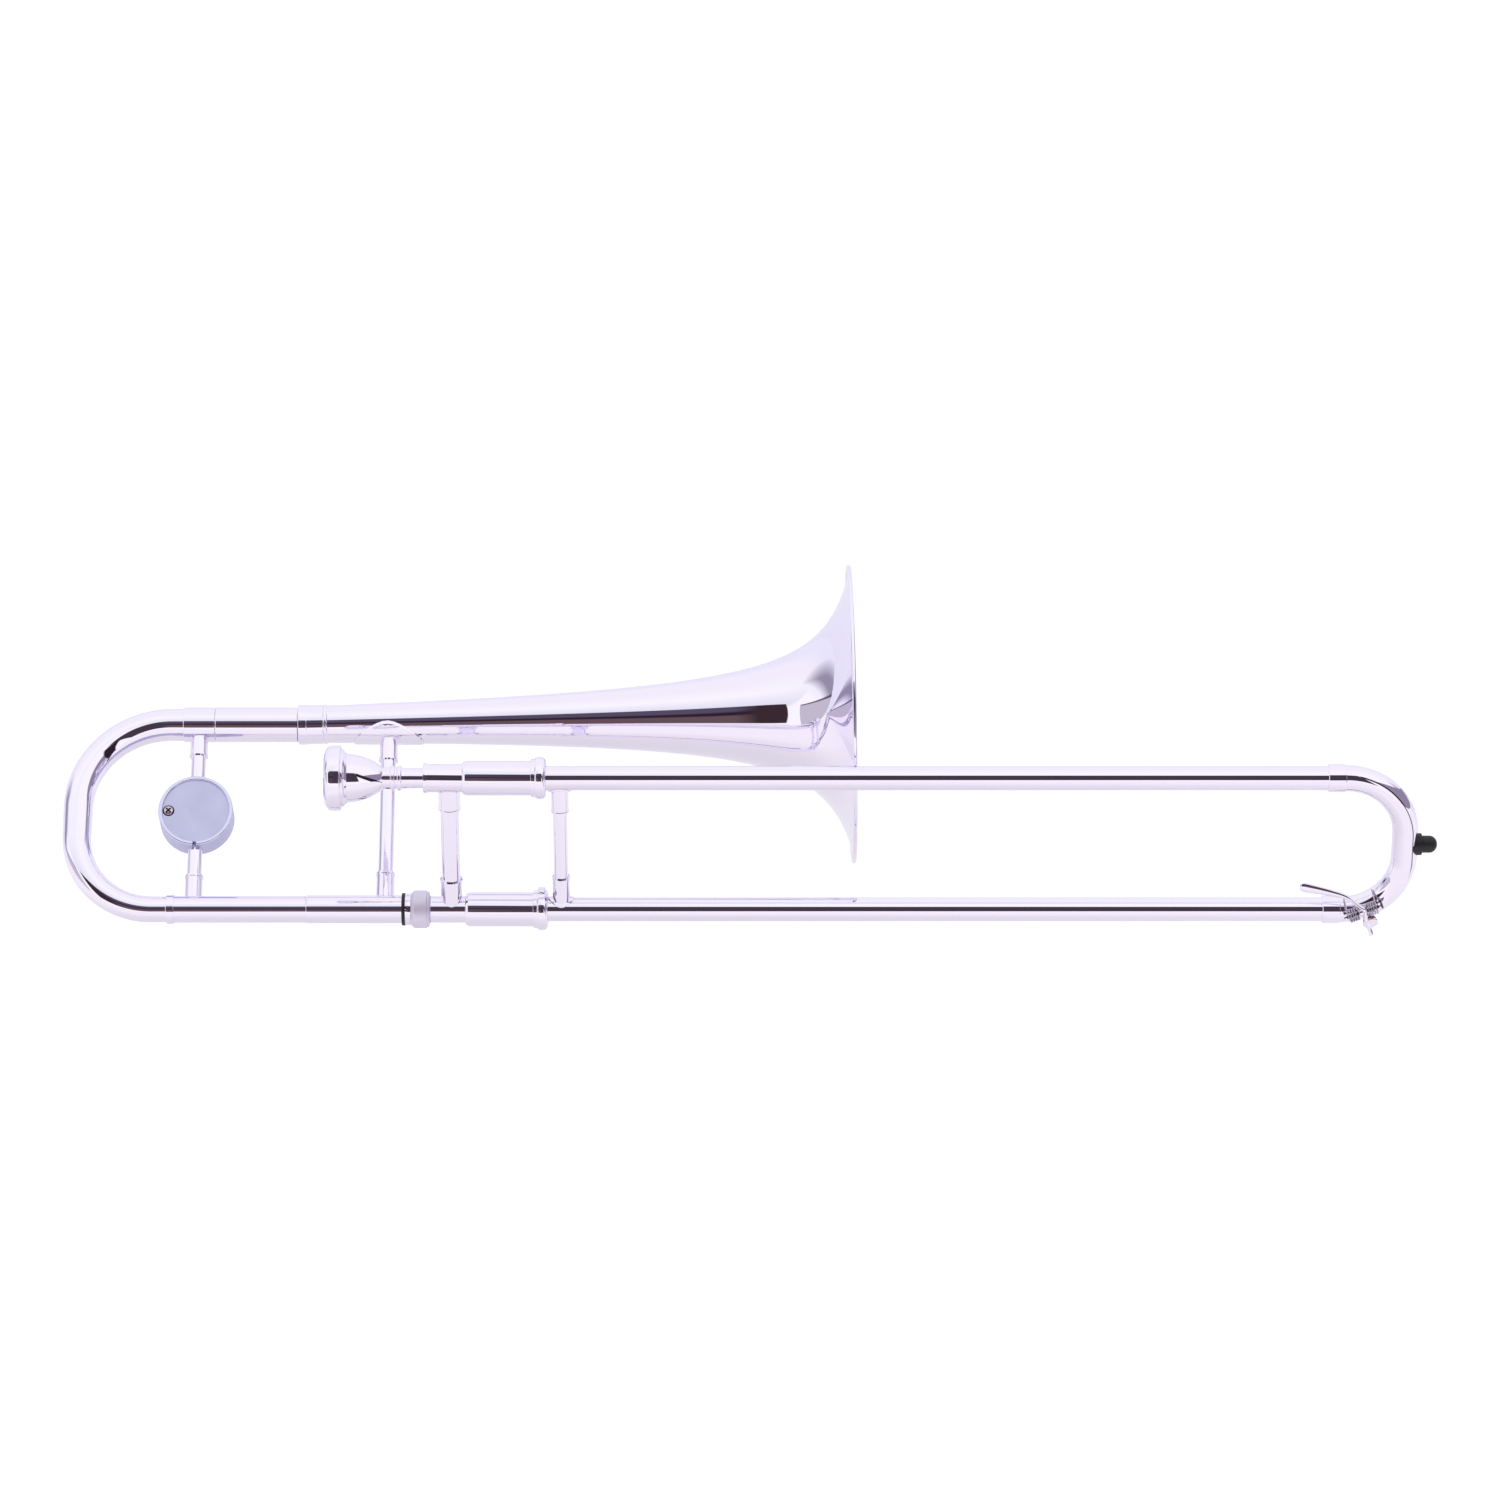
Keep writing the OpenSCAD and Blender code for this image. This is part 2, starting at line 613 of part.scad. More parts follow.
stud_r = 3;
stud_len = 6;
module bumper_stud() {
    color(silver) difference() {
        rod_x(stud_r, bow_max_x, bow_max_x + bow_r + stud_len);
        translate([bow_max_x, 0, -bow_bend]) cylinder(r = bow_r + solder, h = 2 * bow_bend);
    }
}

// The bumper's flange hugs the bow, and its end is a flattened dome
module end_bumper() {
    flange_r = bumper_d / 2;
    base_x = bow_max_x + sqrt(bow_r * bow_r - flange_r * flange_r);
    lip_x = bow_max_x + bow_r + 2.2;
    top_x = bow_max_x + bow_r + bumper_len;
    dome_r = flange_r - 1.45;
    dome_len = dome_r * 0.9;
    color(black) difference() {
        turned(concat([[base_x, 0], [base_x, flange_r], [lip_x - 0.6, flange_r], [lip_x, flange_r - 0.5],
            [lip_x, dome_r + 0.4], [lip_x + 0.5, dome_r]],
            [for (a = [0:9:90]) [top_x - dome_len * (1 - sin(a)), dome_r * cos(a)]]));
        translate([bow_max_x, 0, -bow_bend]) cylinder(r = bow_r + solder, h = 2 * bow_bend);
        rod_x(stud_r + solder, bow_max_x, bow_max_x + bow_r + stud_len + 0.2);
    }
}

// Water key: a frame on the bow's centre line, X along the bow, -Y out through the rod
module key_frame(tilt) {
    lower_leg() translate(key_base) rotate([0, -key_at, 0]) rotate([-tilt, 0, 0]) children();
}

module rod_line() { key_frame(rod_tilt) translate([0, -rod_reach, 0]) children(); }

module pad_line() { key_frame(pad_tilt) translate([pad_shift, 0, 0]) rotate([90, 0, 0]) children(); }

module water_key_saddle() {
    post_r = rod_d / 2 + 1.1;
    color(silver) difference() {
        union() {
            rod_line() for (side = [-1, 1]) translate([side * post_half, 0, 0]) {
                translate([-post_wall / 2, 0, -post_r])
                    cube([post_wall, rod_reach - bow_r + 2, 2 * post_r]);
                rod_x(post_r, -post_wall / 2, post_wall / 2);
            }
            intersection() {
                bow_path(bow_r + foot_wall);
                key_frame(rod_tilt) translate([-post_half - 1.4, -rod_reach, -post_r - 0.8])
                    cube([2 * post_half + 2.8, rod_reach, 2 * post_r + 1.6]);
            }
        }
        bow_path(bow_r + solder);
        rod_line() rod_x(rod_d / 2 + solder, -rod_reach, rod_reach);
        pad_line() cylinder(r = nipple_d / 2 + stop_gap, h = rod_reach);
    }
}

module water_key_rod() {
    half = post_half + post_wall / 2;
    head_r = rod_d / 2 + 0.9;
    color(steel) rod_line() {
        rod_x(rod_d / 2, -half - 0.3, half + 0.1);
        difference() {
            rod_x(head_r, half + solder, half + 1);
            translate([half + 0.6, -0.25, -head_r]) cube([over, 0.5, 2 * head_r]);
        }
    }
}

module water_key_nipple() {
    color(silver) difference() {
        pad_line() cylinder(r = nipple_d / 2, h = nipple_reach);
        bow_path(bow_r + solder);
        pad_line() cylinder(r = drain_d / 2, h = rod_reach);
    }
}

// The spring is one wire: a leg on the bow, a coil, a loop under the lever, a coil, a leg
coil_r = (coil_od - wire_d) / 2;
coil_in = hinge_half + 0.75;
leg_foot_r = bow_r + wire_d / 2 + 0.65;
bend_rise = pow(coil_in + 4 * coil_pitch, 2) / (2 * bow_bend);
leg_foot = [rod_reach - leg_foot_r * cos(60), leg_foot_r * sin(60) + bend_rise];
leg_angle = atan2(leg_foot[1], leg_foot[0]) + acos(coil_r / norm(leg_foot));
coil_end_angle = 1540;
loop_angle = 138;
loop_r = coil_r + 0.6;
coil_sweep = coil_end_angle - leg_angle;
curl_rings = 38;
function coil_point(t) = let (a = leg_angle + coil_sweep * t)
    [-coil_in - coil_pitch * (coil_end_angle - a) / 360, coil_r * cos(a), coil_r * sin(a)];
half_spring = concat([[coil_point(0)[0], leg_foot[0], leg_foot[1]]],
    [for (i = [0:curl_rings]) coil_point(i / curl_rings)],
    [[0.7 - coil_in, loop_r * cos(loop_angle), loop_r * sin(loop_angle)]]);
spring_path = concat(half_spring, [for (i = [len(half_spring) - 1:-1:0])
    [-half_spring[i][0], half_spring[i][1], half_spring[i][2]]]);

function unit(v) = v / norm(v);
function path_dir(p, i) = unit(p[min(i + 1, len(p) - 1)] - p[max(i - 1, 0)]);
function path_sides(p) = [for (i = 0, n = unit(cross(path_dir(p, 0), [1, 0.3, 0.2])); i < len(p);
    i = i + 1, n = i < len(p) ? unit(n - (n * path_dir(p, i)) * path_dir(p, i)) : n) n];

// A round wire along a path: a ring of corners at each point, and a fan at each end
module wire(path, r, sides) {
    normals = path_sides(path);
    count = len(path);
    corners = [for (i = [0:count - 1]) let (n = normals[i], b = cross(path_dir(path, i), n))
        for (k = [0:sides - 1]) path[i] + r * (cos(360 * k / sides) * n + sin(360 * k / sides) * b)];
    walls = [for (i = [0:count - 2], k = [0:sides - 1]) let (a = i * sides + k,
        b = i * sides + (k + 1) % sides)
        each [[a, a + sides, b], [b, a + sides, b + sides]]];
    ends = concat([for (k = [1:sides - 2]) [0, k, k + 1]],
        [for (k = [1:sides - 2]) let (f = (count - 1) * sides) [f, f + k + 1, f + k]]);
    polyhedron(points = corners, faces = concat(walls, ends), convexity = 10);
}

// The least gap between turns of the spring's wire, on its points
spring_gap = min([for (i = [0:len(spring_path) - 1], j = [i + 5:1:len(spring_path) - 1])
    norm(spring_path[i] - spring_path[j])]) - wire_d;
echo(spring_gap = spring_gap);

module water_key_spring() { color(steel) rod_line() wire(spring_path, wire_d / 2, 6); }

// The lever's bar: points [along X, up across the key's face, out from the bow's centre line]
bar_out = rod_reach * cos(face_tilt - rod_tilt) + hinge_r + 0.5;
cup_floor = nipple_reach + pad_gap + cork_thick + solder;
cup_lip = 0.5;
cup_top = cup_floor + 1;
bar_over_cup = cup_top + arm_r * 0.7;
pad_fall = face_tilt - pad_tilt;
coil_clear = coil_od / 2 + arm_r + stop_gap;
rod_up = -rod_reach * sin(face_tilt - rod_tilt);
bar_over_coil = rod_reach + coil_clear;
bar_points = [[-35.2, 10.8, 9], [-21.8, 8.2, 11.4], [-10.8, 5.2, bar_out - 0.6],
    [-4.5, rod_up + 3.7, bar_over_coil - 0.7], [-1, rod_up + 1, bar_over_coil + 0.1],
    [0, rod_up + 0.2, bar_out], [0.8, rod_up - 5.9, bar_out - 2.6],
    [2.6, -bar_over_cup * sin(pad_fall), bar_over_cup * cos(pad_fall)], [4.3, -16.5, 7]];
// Half widths of the bar, from its flat paddle on, and its thickness as a share of its width
bar_radii = [2.9, 2.2, 1.5, arm_r, arm_r, arm_r, arm_r, 1.25, 1.4];
bar_flat = [0.36, 0.5, 0.75, 1, 1, 1, 1, 1, 0.8];
function bar_place(p) = key_base + [p[0], p[1] * sin(face_tilt) - p[2] * cos(face_tilt),
    p[1] * cos(face_tilt) + p[2] * sin(face_tilt)];

module water_key_lever() {
    cup_r = cork_d / 2 + 0.8;
    color(silver) difference() {
        union() {
            lower_leg() for (i = [0:len(bar_points) - 2]) hull() for (j = [i, i + 1])
                translate(bar_place(bar_points[j])) rotate([90 - face_tilt, 0, 0])
                    scale([1, 1, bar_flat[j]]) sphere(r = bar_radii[j], $fn = 16);
            rod_line() rod_x(hinge_r, -hinge_half, hinge_half);
            pad_line() difference() {
                translate([0, 0, cup_floor - cup_lip])
                    cylinder(r = cup_r, h = cup_top - cup_floor + cup_lip);
                translate([0, 0, cup_floor - cup_lip - over])
                    cylinder(r = cork_d / 2 + solder, h = cup_lip + over);
            }
        }
        rod_line() rod_x(rod_d / 2 + run_fit, -rod_reach, rod_reach);
    }
}

module water_key_cork() {
    color(cork) pad_line() translate([0, 0, nipple_reach + pad_gap])
        cylinder(r = cork_d / 2, h = cork_thick);
}

// Bell section
module bell_receiver() {
    taper = (tenon_base_od - tenon_tip_od) / 2 / tenon_len;
    mouth_r = tenon_base_od / 2 - taper * stop_gap + run_fit;
    seat_x = tenon_x - stop_gap;
    seat_r = tenon_tip_od / 2 - taper * stop_gap + run_fit;
    ring_seat_r = seal_od / 2 - 1.2;
    color(silver) bell_plane() turned([[receiver_face_x, mouth_r], [receiver_face_x, thread_od / 2 - 0.4],
        [receiver_face_x - 0.5, thread_od / 2], [flange_x1, thread_od / 2], [flange_x1, flange_r],
        [flange_x0, flange_r], [flange_x0, ring_seat_r], [seal_x0, ring_seat_r], [seal_x0, spigot_r],
        [seal_x0 - spigot_len, spigot_r], [seal_x0 - spigot_len, spigot_r - 0.6],
        [seat_x - 1, spigot_r - 0.8], [seat_x, seat_r]]);
}

module receiver_ring() {
    r = seal_od / 2;
    color(black) bell_plane() ferrule(r, r - 1.2 + solder, seal_x0, flange_x0 - solder, 0.3);
}

module neckpipe() {
    r = neck_od / 2;
    color(silver) bell_plane() turned([[-neck_shoulder_x, neck_bore_r], [-neck_shoulder_x, r - 0.3],
        [-neck_shoulder_x + 0.4, r], [seal_x0 - solder, r], [seal_x0 - solder, neck_bore_r]]);
}

leg_seat = 38;
module neckpipe_inner_leg() {
    color(silver) bell_plane() tube_x(spigot_r, spigot_r - tuning_wall,
        lower_sleeve_x0 + 4, -neck_shoulder_x + leg_seat);
}

module tuning_sleeve_upper() {
    color(silver) bell_plane() translate([0, 0, leg_gap]) turned([
        [upper_sleeve_x, upper_sleeve_r - tuning_wall], [upper_sleeve_x, upper_sleeve_r - 0.15],
        [upper_sleeve_x + 0.3, upper_sleeve_r], [-bell_ferrule_x, upper_sleeve_r],
        [-bell_ferrule_x, upper_sleeve_r - tuning_wall]]);
}

module bell_ferrule() {
    r = bell_ferrule_r;
    throat_r = flare_r(bell_ferrule_len);
    color(silver) bell_plane() bell_line() difference() {
        turned([[0.25, bell_ferrule_bore_r], [0.25, r - 1], [0.7, r - 0.3], [1.4, r],
            [5, r], [5.6, r - 0.25], [bell_ferrule_len - 3, r - 0.25], [bell_ferrule_len - 2.6, r + 0.05],
            [bell_ferrule_len - 0.7, r], [bell_ferrule_len, throat_r + 0.2],
            [bell_ferrule_len, bell_ferrule_bore_r]]);
        turned([[bell_start - solder, 0], [bell_start - solder, flare_r(bell_start) + solder],
            [bell_ferrule_len + over, flare_r(bell_ferrule_len + over) + solder],
            [bell_ferrule_len + over, 0]]);
    }
}

// The flare is a power curve; the steps close up towards the rim, where it turns fastest
function flare_slope(s) = (flare_r(s + 0.05) - flare_r(s - 0.05)) / 0.1;
function wall_x(s) = s + bell_wall * sin(atan(flare_slope(s)));
function wall_r(s) = flare_r(s) - bell_wall * cos(atan(flare_slope(s)));

// The sheet ends where its inside reaches the middle of the rolled bead, which lies behind it
module bell() {
    bead_r = rim_bead / 2;
    bead_at_r = bell_d / 2 - bead_r;
    inside = [for (i = [0:curve_steps - 1]) let (s = bell_s(i))
        if (wall_r(s) < bead_at_r) [wall_x(s), wall_r(s)]];
    last = len(inside) - 1;
    bead = [inside[last][0] - bead_r, bead_at_r];
    outside = [for (i = [0:last]) let (p = [bell_s(i), flare_r(bell_s(i))])
        if (norm(p - bead) > bead_r * 1.1) p];
    meet = outside[len(outside) - 1] - bead;
    roll = 360 + atan2(meet[1], meet[0]);
    roll_steps = 14;
    color(silver) bell_plane() bell_line() turned(concat(outside,
        [for (i = [roll_steps:-1:0]) let (a = roll * i / roll_steps) bead + bead_r * [cos(a), sin(a)]],
        [for (i = [last:-1:0]) inside[i]]));
}

bell_brace_r = bell_brace_od / 2;
module bell_brace() {
    top_z = bell_socket_z + 8;
    color(silver) bell_plane() translate([-bell_brace_x, 0, brace_floor + solder]) difference() {
        cylinder(r = bell_brace_r, h = top_z - brace_floor);
        translate([0, 0, -over]) cylinder(r = bell_brace_r - brace_wall, h = top_z + over);
    }
}

module bell_brace_socket() {
    color(silver) bell_plane() translate([-bell_brace_x, 0, 0])
        socket(neck_od / 2, bell_brace_r + solder, bell_socket_reach, brace_floor);
}

// The foot hugs the bell's underside, where the flare is nearly a cone
module bell_brace_foot() {
    socket_r = bell_brace_r + solder + socket_wall;
    color(silver) bell_plane() difference() {
        union() {
            translate([-bell_brace_x, 0, bell_socket_z])
                cylinder(r = socket_r, h = leg_gap - bell_socket_z);
            translate([-bell_brace_x, 0, bell_socket_z]) cylinder(r = socket_r + 0.35, h = 1.6);
            intersection() {
                bell_line() bell_band(foot_wall + solder);
                translate([-bell_brace_x, 0, bell_socket_z]) linear_extrude(leg_gap - bell_socket_z)
                    oval_outline(bell_foot_len, bell_foot_width);
            }
        }
        bell_line() bell_band(solder);
        translate([-bell_brace_x, 0, 0])
            cylinder(r = bell_brace_r + solder, h = bell_socket_z + 8 + 2 * solder);
    }
}

// The bell's outer skin under the foot, as a solid cone
module bell_band(grow) {
    mid = bell_ferrule_x - bell_brace_x;
    half = bell_foot_len * 0.6;
    translate([mid - half, 0, 0]) rotate([0, 90, 0])
        cylinder(r1 = flare_r(mid - half) + grow, r2 = flare_r(mid + half) + grow, h = 2 * half);
}

// Tuning slide: the bow's centre line as a path of [x, z], tapering from end to end
function bow_at(s) =
    let (a = s - low_lead, b = a - low_bend * PI / 2, c = b - side_len, d = c - high_bend * PI / 2)
    a < 0 ? [lower_sleeve_x0 - s, 0, 180]
    : b < 0 ? let (t = a / low_bend * 180 / PI)
        [low_bend_x - low_bend * sin(t), low_bend * (1 - cos(t)), 180 - t]
    : c < 0 ? [low_bend_x - low_bend, low_bend + b, 90]
    : d < 0 ? let (t = c / high_bend * 180 / PI)
        [high_bend_x - high_bend * cos(t), low_bend + side_len + high_bend * sin(t), 90 - t]
    : [high_bend_x + d, leg_gap, 0];
function bow_radius(s) = (tuning_bow_low_od + (tuning_bow_high_od - tuning_bow_low_od) * s / bow_len) / 2;
bow_stations = concat([0, low_lead], [for (i = [1:14]) low_lead + low_bend * PI / 2 * i / 14],
    [for (i = [0:16]) low_lead + low_bend * PI / 2 + side_len + high_bend * PI / 2 * i / 16], [bow_len]);
bow_sides = 36;
function bow_ring(s, r) = let (p = bow_at(s)) [for (k = [0:bow_sides - 1]) let (a = 360 * k / bow_sides)
    [p[0] - r * cos(a) * sin(p[2]), r * sin(a), p[1] + r * cos(a) * cos(p[2])]];

module tuning_bow() {
    count = len(bow_stations);
    skins = concat([for (s = bow_stations) each bow_ring(s, bow_radius(s))],
        [for (s = bow_stations) each bow_ring(s, bow_radius(s) - tuning_wall)]);
    inner = count * bow_sides;
    last = (count - 1) * bow_sides;
    faces = concat(
        [for (i = [0:count - 2], k = [0:bow_sides - 1]) let (j = (k + 1) % bow_sides, a = i * bow_sides)
            each [[a + k, a + j, a + bow_sides + k], [a + j, a + bow_sides + j, a + bow_sides + k],
                [inner + a + k, inner + a + bow_sides + k, inner + a + j],
                [inner + a + j, inner + a + bow_sides + k, inner + a + bow_sides + j]]],
        [for (k = [0:bow_sides - 1]) let (j = (k + 1) % bow_sides)
            each [[k, inner + k, j], [j, inner + k, inner + j],
                [last + k, last + j, inner + last + k], [last + j, inner + last + j, inner + last + k]]]);
    color(silver) bell_plane() polyhedron(points = skins, faces = faces, convexity = 6);
}

module tuning_ferrule_upper() {
    bow_bore = tuning_bow_high_od / 2 + 0.12;
    color(silver) bell_plane() translate([0, 0, leg_gap]) difference() {
        ferrule(upper_sleeve_r, bow_bore - 1, tuning_ferrule_x0, tuning_ferrule_x1);
        rod_x(bow_bore, tuning_ferrule_x0 - over, high_end_x + solder);
        rod_x(inner_leg_r + solder, high_end_x + solder, tuning_ferrule_x1 + over);
    }
}

module tuning_ferrule_lower() {
    r = lower_sleeve_r + solder;
    half = 2.4;
    color(silver) bell_plane() ferrule(r + 0.7, r, lower_sleeve_x0 - half, lower_sleeve_x0 + half);
}

module tuning_inner_leg() {
    color(silver) bell_plane() translate([0, 0, leg_gap])
        tube_x(inner_leg_r, inner_leg_r - tuning_wall, high_end_x + 2 * solder, -bell_ferrule_x - 2);
}

module tuning_sleeve_lower() {
    color(silver) bell_plane() tube_x(lower_sleeve_r, lower_sleeve_r - tuning_wall,
        lower_sleeve_x0 + solder, lower_sleeve_x1);
}

weight_r = weight_brace_od / 2;
drum_r = drum_d / 2;
drum_hole = 3;
weight_floor_upper = upper_sleeve_r + 1.5;
module weight_brace(z0, z1) {
    translate([-drum_x, 0, z0]) difference() {
        cylinder(r = weight_r, h = z1 - z0);
        translate([0, 0, -over]) cylinder(r = weight_r - brace_wall, h = z1 - z0 + 2 * over);
    }
}

module weight_brace_upper() {
    color(silver) bell_plane()
        weight_brace(drum_z + drum_r - drum_hole + 0.4, leg_gap - weight_floor_upper - solder);
}

module weight_brace_lower() {
    color(silver) bell_plane() weight_brace(brace_floor + solder, drum_z - drum_r + drum_hole - 0.4);
}

module weight_socket_upper() {
    color(silver) bell_plane() translate([-drum_x, 0, leg_gap]) mirror([0, 0, 1])
        socket(upper_sleeve_r, weight_r + solder, weight_socket_reach, weight_floor_upper);
}

module weight_socket_lower() {
    color(silver) bell_plane() translate([-drum_x, 0, 0])
        socket(lower_sleeve_r, weight_r + solder, weight_socket_reach, brace_floor);
}

// The drum's axis crosses the bell's plane; its open face looks to -Y
module drum_line() { bell_plane() translate([-drum_x, 0, drum_z]) rotate([90, 0, 0]) children(); }

cover_r = drum_r - 2.4;
cover_thick = 1.6;
slug_r = drum_r - 5;
slug_len = drum_thick - 6;
screw_at = cover_r - 3.6;
module counterweight_drum() {
    half = drum_thick / 2;
    color(satin) difference() {
        drum_line() translate([0, 0, -half]) rotate_extrude() polygon([[0, 0], [drum_r - 0.8, 0],
            [drum_r, 0.8], [drum_r, drum_thick - 0.6], [drum_r - 0.6, drum_thick],
            [cover_r + 0.6, drum_thick], [cover_r + solder, drum_thick - 0.6],
            [cover_r + solder, drum_thick - 0.7 - cover_thick],
            [slug_r + 0.1, drum_thick - 0.7 - cover_thick], [slug_r + 0.1, 2.5], [0, 2.5]]);
        bell_plane() for (side = [-1, 1])
            translate([-drum_x, 0, drum_z + side * (drum_r - drum_hole / 2 + over / 2)])
                cylinder(r = weight_r + solder, h = drum_hole + over, center = true);
        drum_line() translate([-1.1, -drum_r - over, half - 3.2]) cube([2.2, 3, 3.2 + over]);
    }
}

module counterweight_slug() {
    color(steel) drum_line() translate([0, 0, 2.55 - drum_thick / 2]) cylinder(r = slug_r, h = slug_len);
}

module counterweight_cover() {
    top = drum_thick / 2 - 0.65;
    color(satin) drum_line() difference() {
        translate([0, 0, top - cover_thick]) cylinder(r = cover_r, h = cover_thick);
        translate([-screw_at, 0, top - cover_thick - over]) cylinder(r = 1.3, h = cover_thick + 2 * over);
        translate([-screw_at, 0, top - 0.7]) cylinder(r = 3, h = over);
    }
}

module counterweight_screw() {
    top = drum_thick / 2 - 0.65;
    color(steel) drum_line() translate([-screw_at, 0, 0]) difference() {
        union() {
            translate([0, 0, top - cover_thick]) cylinder(r = 1.25, h = cover_thick);
            translate([0, 0, top - 0.65]) cylinder(r = 2.9, h = 1);
        }
        for (turn = [45, 135]) rotate([0, 0, turn])
            translate([-1.9, -0.35, top - 0.2]) cube([3.8, 0.7, over]);
    }
}

mouthpiece();
mouthpiece_receiver();
leadpipe();
inner_tube_upper();
inner_tube_lower();
cork_barrel_upper();
cork_barrel_lower();
barrel_cork_upper();
barrel_cork_lower();
barrel_ring();
slide_lock();
lower_receiver();
slide_tenon();
lock_nut();
hand_brace();
hand_brace_socket_upper();
hand_brace_socket_lower();
outer_tube_upper();
outer_tube_lower();
slide_brace();
slide_brace_foot_upper();
slide_brace_foot_lower();
lock_lug();
bow_ferrule_upper();
bow_ferrule_lower();
slide_bow();
bumper_stud();
end_bumper();
water_key_saddle();
water_key_rod();
water_key_nipple();
water_key_spring();
water_key_lever();
water_key_cork();
bell_receiver();
receiver_ring();
neckpipe();
neckpipe_inner_leg();
tuning_sleeve_upper();
bell_ferrule();
bell();
bell_brace();
bell_brace_socket();
bell_brace_foot();
tuning_bow();
tuning_ferrule_upper();
tuning_ferrule_lower();
tuning_inner_leg();
tuning_sleeve_lower();
weight_brace_upper();
weight_brace_lower();
weight_socket_upper();
weight_socket_lower();
counterweight_drum();
counterweight_slug();
counterweight_cover();
counterweight_screw();
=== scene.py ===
"""Alto trombone: smooth pieces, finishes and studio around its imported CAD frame."""

import math

import bmesh
import bpy
from bpy.props import FloatProperty, FloatVectorProperty, IntProperty, PointerProperty
from mathutils import Matrix, Vector
from mathutils.geometry import interpolate_bezier


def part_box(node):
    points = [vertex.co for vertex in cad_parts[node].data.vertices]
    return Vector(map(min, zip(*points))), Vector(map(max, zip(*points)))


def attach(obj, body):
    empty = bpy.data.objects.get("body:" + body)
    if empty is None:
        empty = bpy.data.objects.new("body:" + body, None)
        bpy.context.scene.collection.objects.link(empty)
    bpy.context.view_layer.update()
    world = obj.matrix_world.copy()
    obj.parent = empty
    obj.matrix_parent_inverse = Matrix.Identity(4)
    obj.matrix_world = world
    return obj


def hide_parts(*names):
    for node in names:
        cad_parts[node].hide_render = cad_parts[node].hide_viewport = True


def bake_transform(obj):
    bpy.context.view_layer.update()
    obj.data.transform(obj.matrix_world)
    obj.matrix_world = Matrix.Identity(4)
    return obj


bl_info = {
    "name": "Alto trombone",
    "version": (1, 0, 0),
    "blender": (4, 5, 0),
    "location": "3D View > Sidebar > Trombone",
    "description": "Gives an alto trombone its smooth metalwork and finishes, in a white studio",
    "category": "Object",
}

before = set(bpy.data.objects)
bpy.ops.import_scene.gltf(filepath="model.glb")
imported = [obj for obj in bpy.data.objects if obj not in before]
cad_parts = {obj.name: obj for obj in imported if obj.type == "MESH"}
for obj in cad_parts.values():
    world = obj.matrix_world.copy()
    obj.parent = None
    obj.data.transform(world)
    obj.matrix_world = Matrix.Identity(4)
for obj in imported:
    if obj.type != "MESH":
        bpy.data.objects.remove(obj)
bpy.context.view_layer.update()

# Outlines and places are in millimetres, and one scale turns them to metres
MM = 0.001
# Corners of a piece that lie nearer than this are one corner
MERGE = 1e-4
# Room between two surfaces that fit each other
FIT = 0.03


def linear(text):
    """An sRGB hex colour as linear red, green, blue and alpha."""
    parts = [int(text[i : i + 2], 16) / 255 for i in (1, 3, 5)]
    return [c / 12.92 if c <= 0.04045 else ((c + 0.055) / 1.055) ** 2.4 for c in parts] + [1.0]


def middle(node):
    """The middle of a CAD node's box, in millimetres."""
    low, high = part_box(node)
    return (low + high) / 2 / MM


def extent(node, axis):
    """A CAD node's size along an axis (0, 1 or 2), in millimetres."""
    low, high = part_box(node)
    return (high[axis] - low[axis]) / MM


# The two legs of the slide, and the bell's plane, which turns about the lower one
LOWER = Vector((0, 0, middle("outer_tube_lower").z))
SLEEVE = middle("tuning_sleeve_upper")
BELL_ANGLE = math.atan2(SLEEVE.y, SLEEVE.z - LOWER.z)
LEG_GAP = math.hypot(SLEEVE.y, SLEEVE.z - LOWER.z)
BELL_START_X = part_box("tuning_sleeve_upper")[1].x / MM
# Where the flare begins along the bell's axis, inside its ferrule
BELL_START = 8
# How far the ferrules of the slide bow stand out past its tube
FERRULE_STEP = 0.53
BOW_RADIUS = extent("bow_ferrule_upper", 1) / 2 - FERRULE_STEP
UPPER_LEG = Matrix.Translation((0, 0, middle("outer_tube_upper").z))
LOWER_LEG = Matrix.Translation(LOWER)
BELL_PLANE = LOWER_LEG @ Matrix.Rotation(-BELL_ANGLE, 4, "X")

# Turns a turned piece's axis, its X, to stand out along -Y
OUTWARDS = Matrix(((0, 0, 1, 0), (-1, 0, 0, 0), (0, -1, 0, 0), (0, 0, 0, 1)))


def length(name, note, millimetres, low, high):
    """A size that the user may change, shown in the scene's own length unit."""
    return FloatProperty(name=name, description=note, default=millimetres * MM, min=low * MM,
                         max=high * MM, unit="LENGTH", precision=5)


def colour(name, note, text):
    """A colour that the user may change, given as sRGB hex."""
    return FloatVectorProperty(name=name, description=note, default=linear(text), size=4,
                               subtype="COLOR", min=0, max=1)


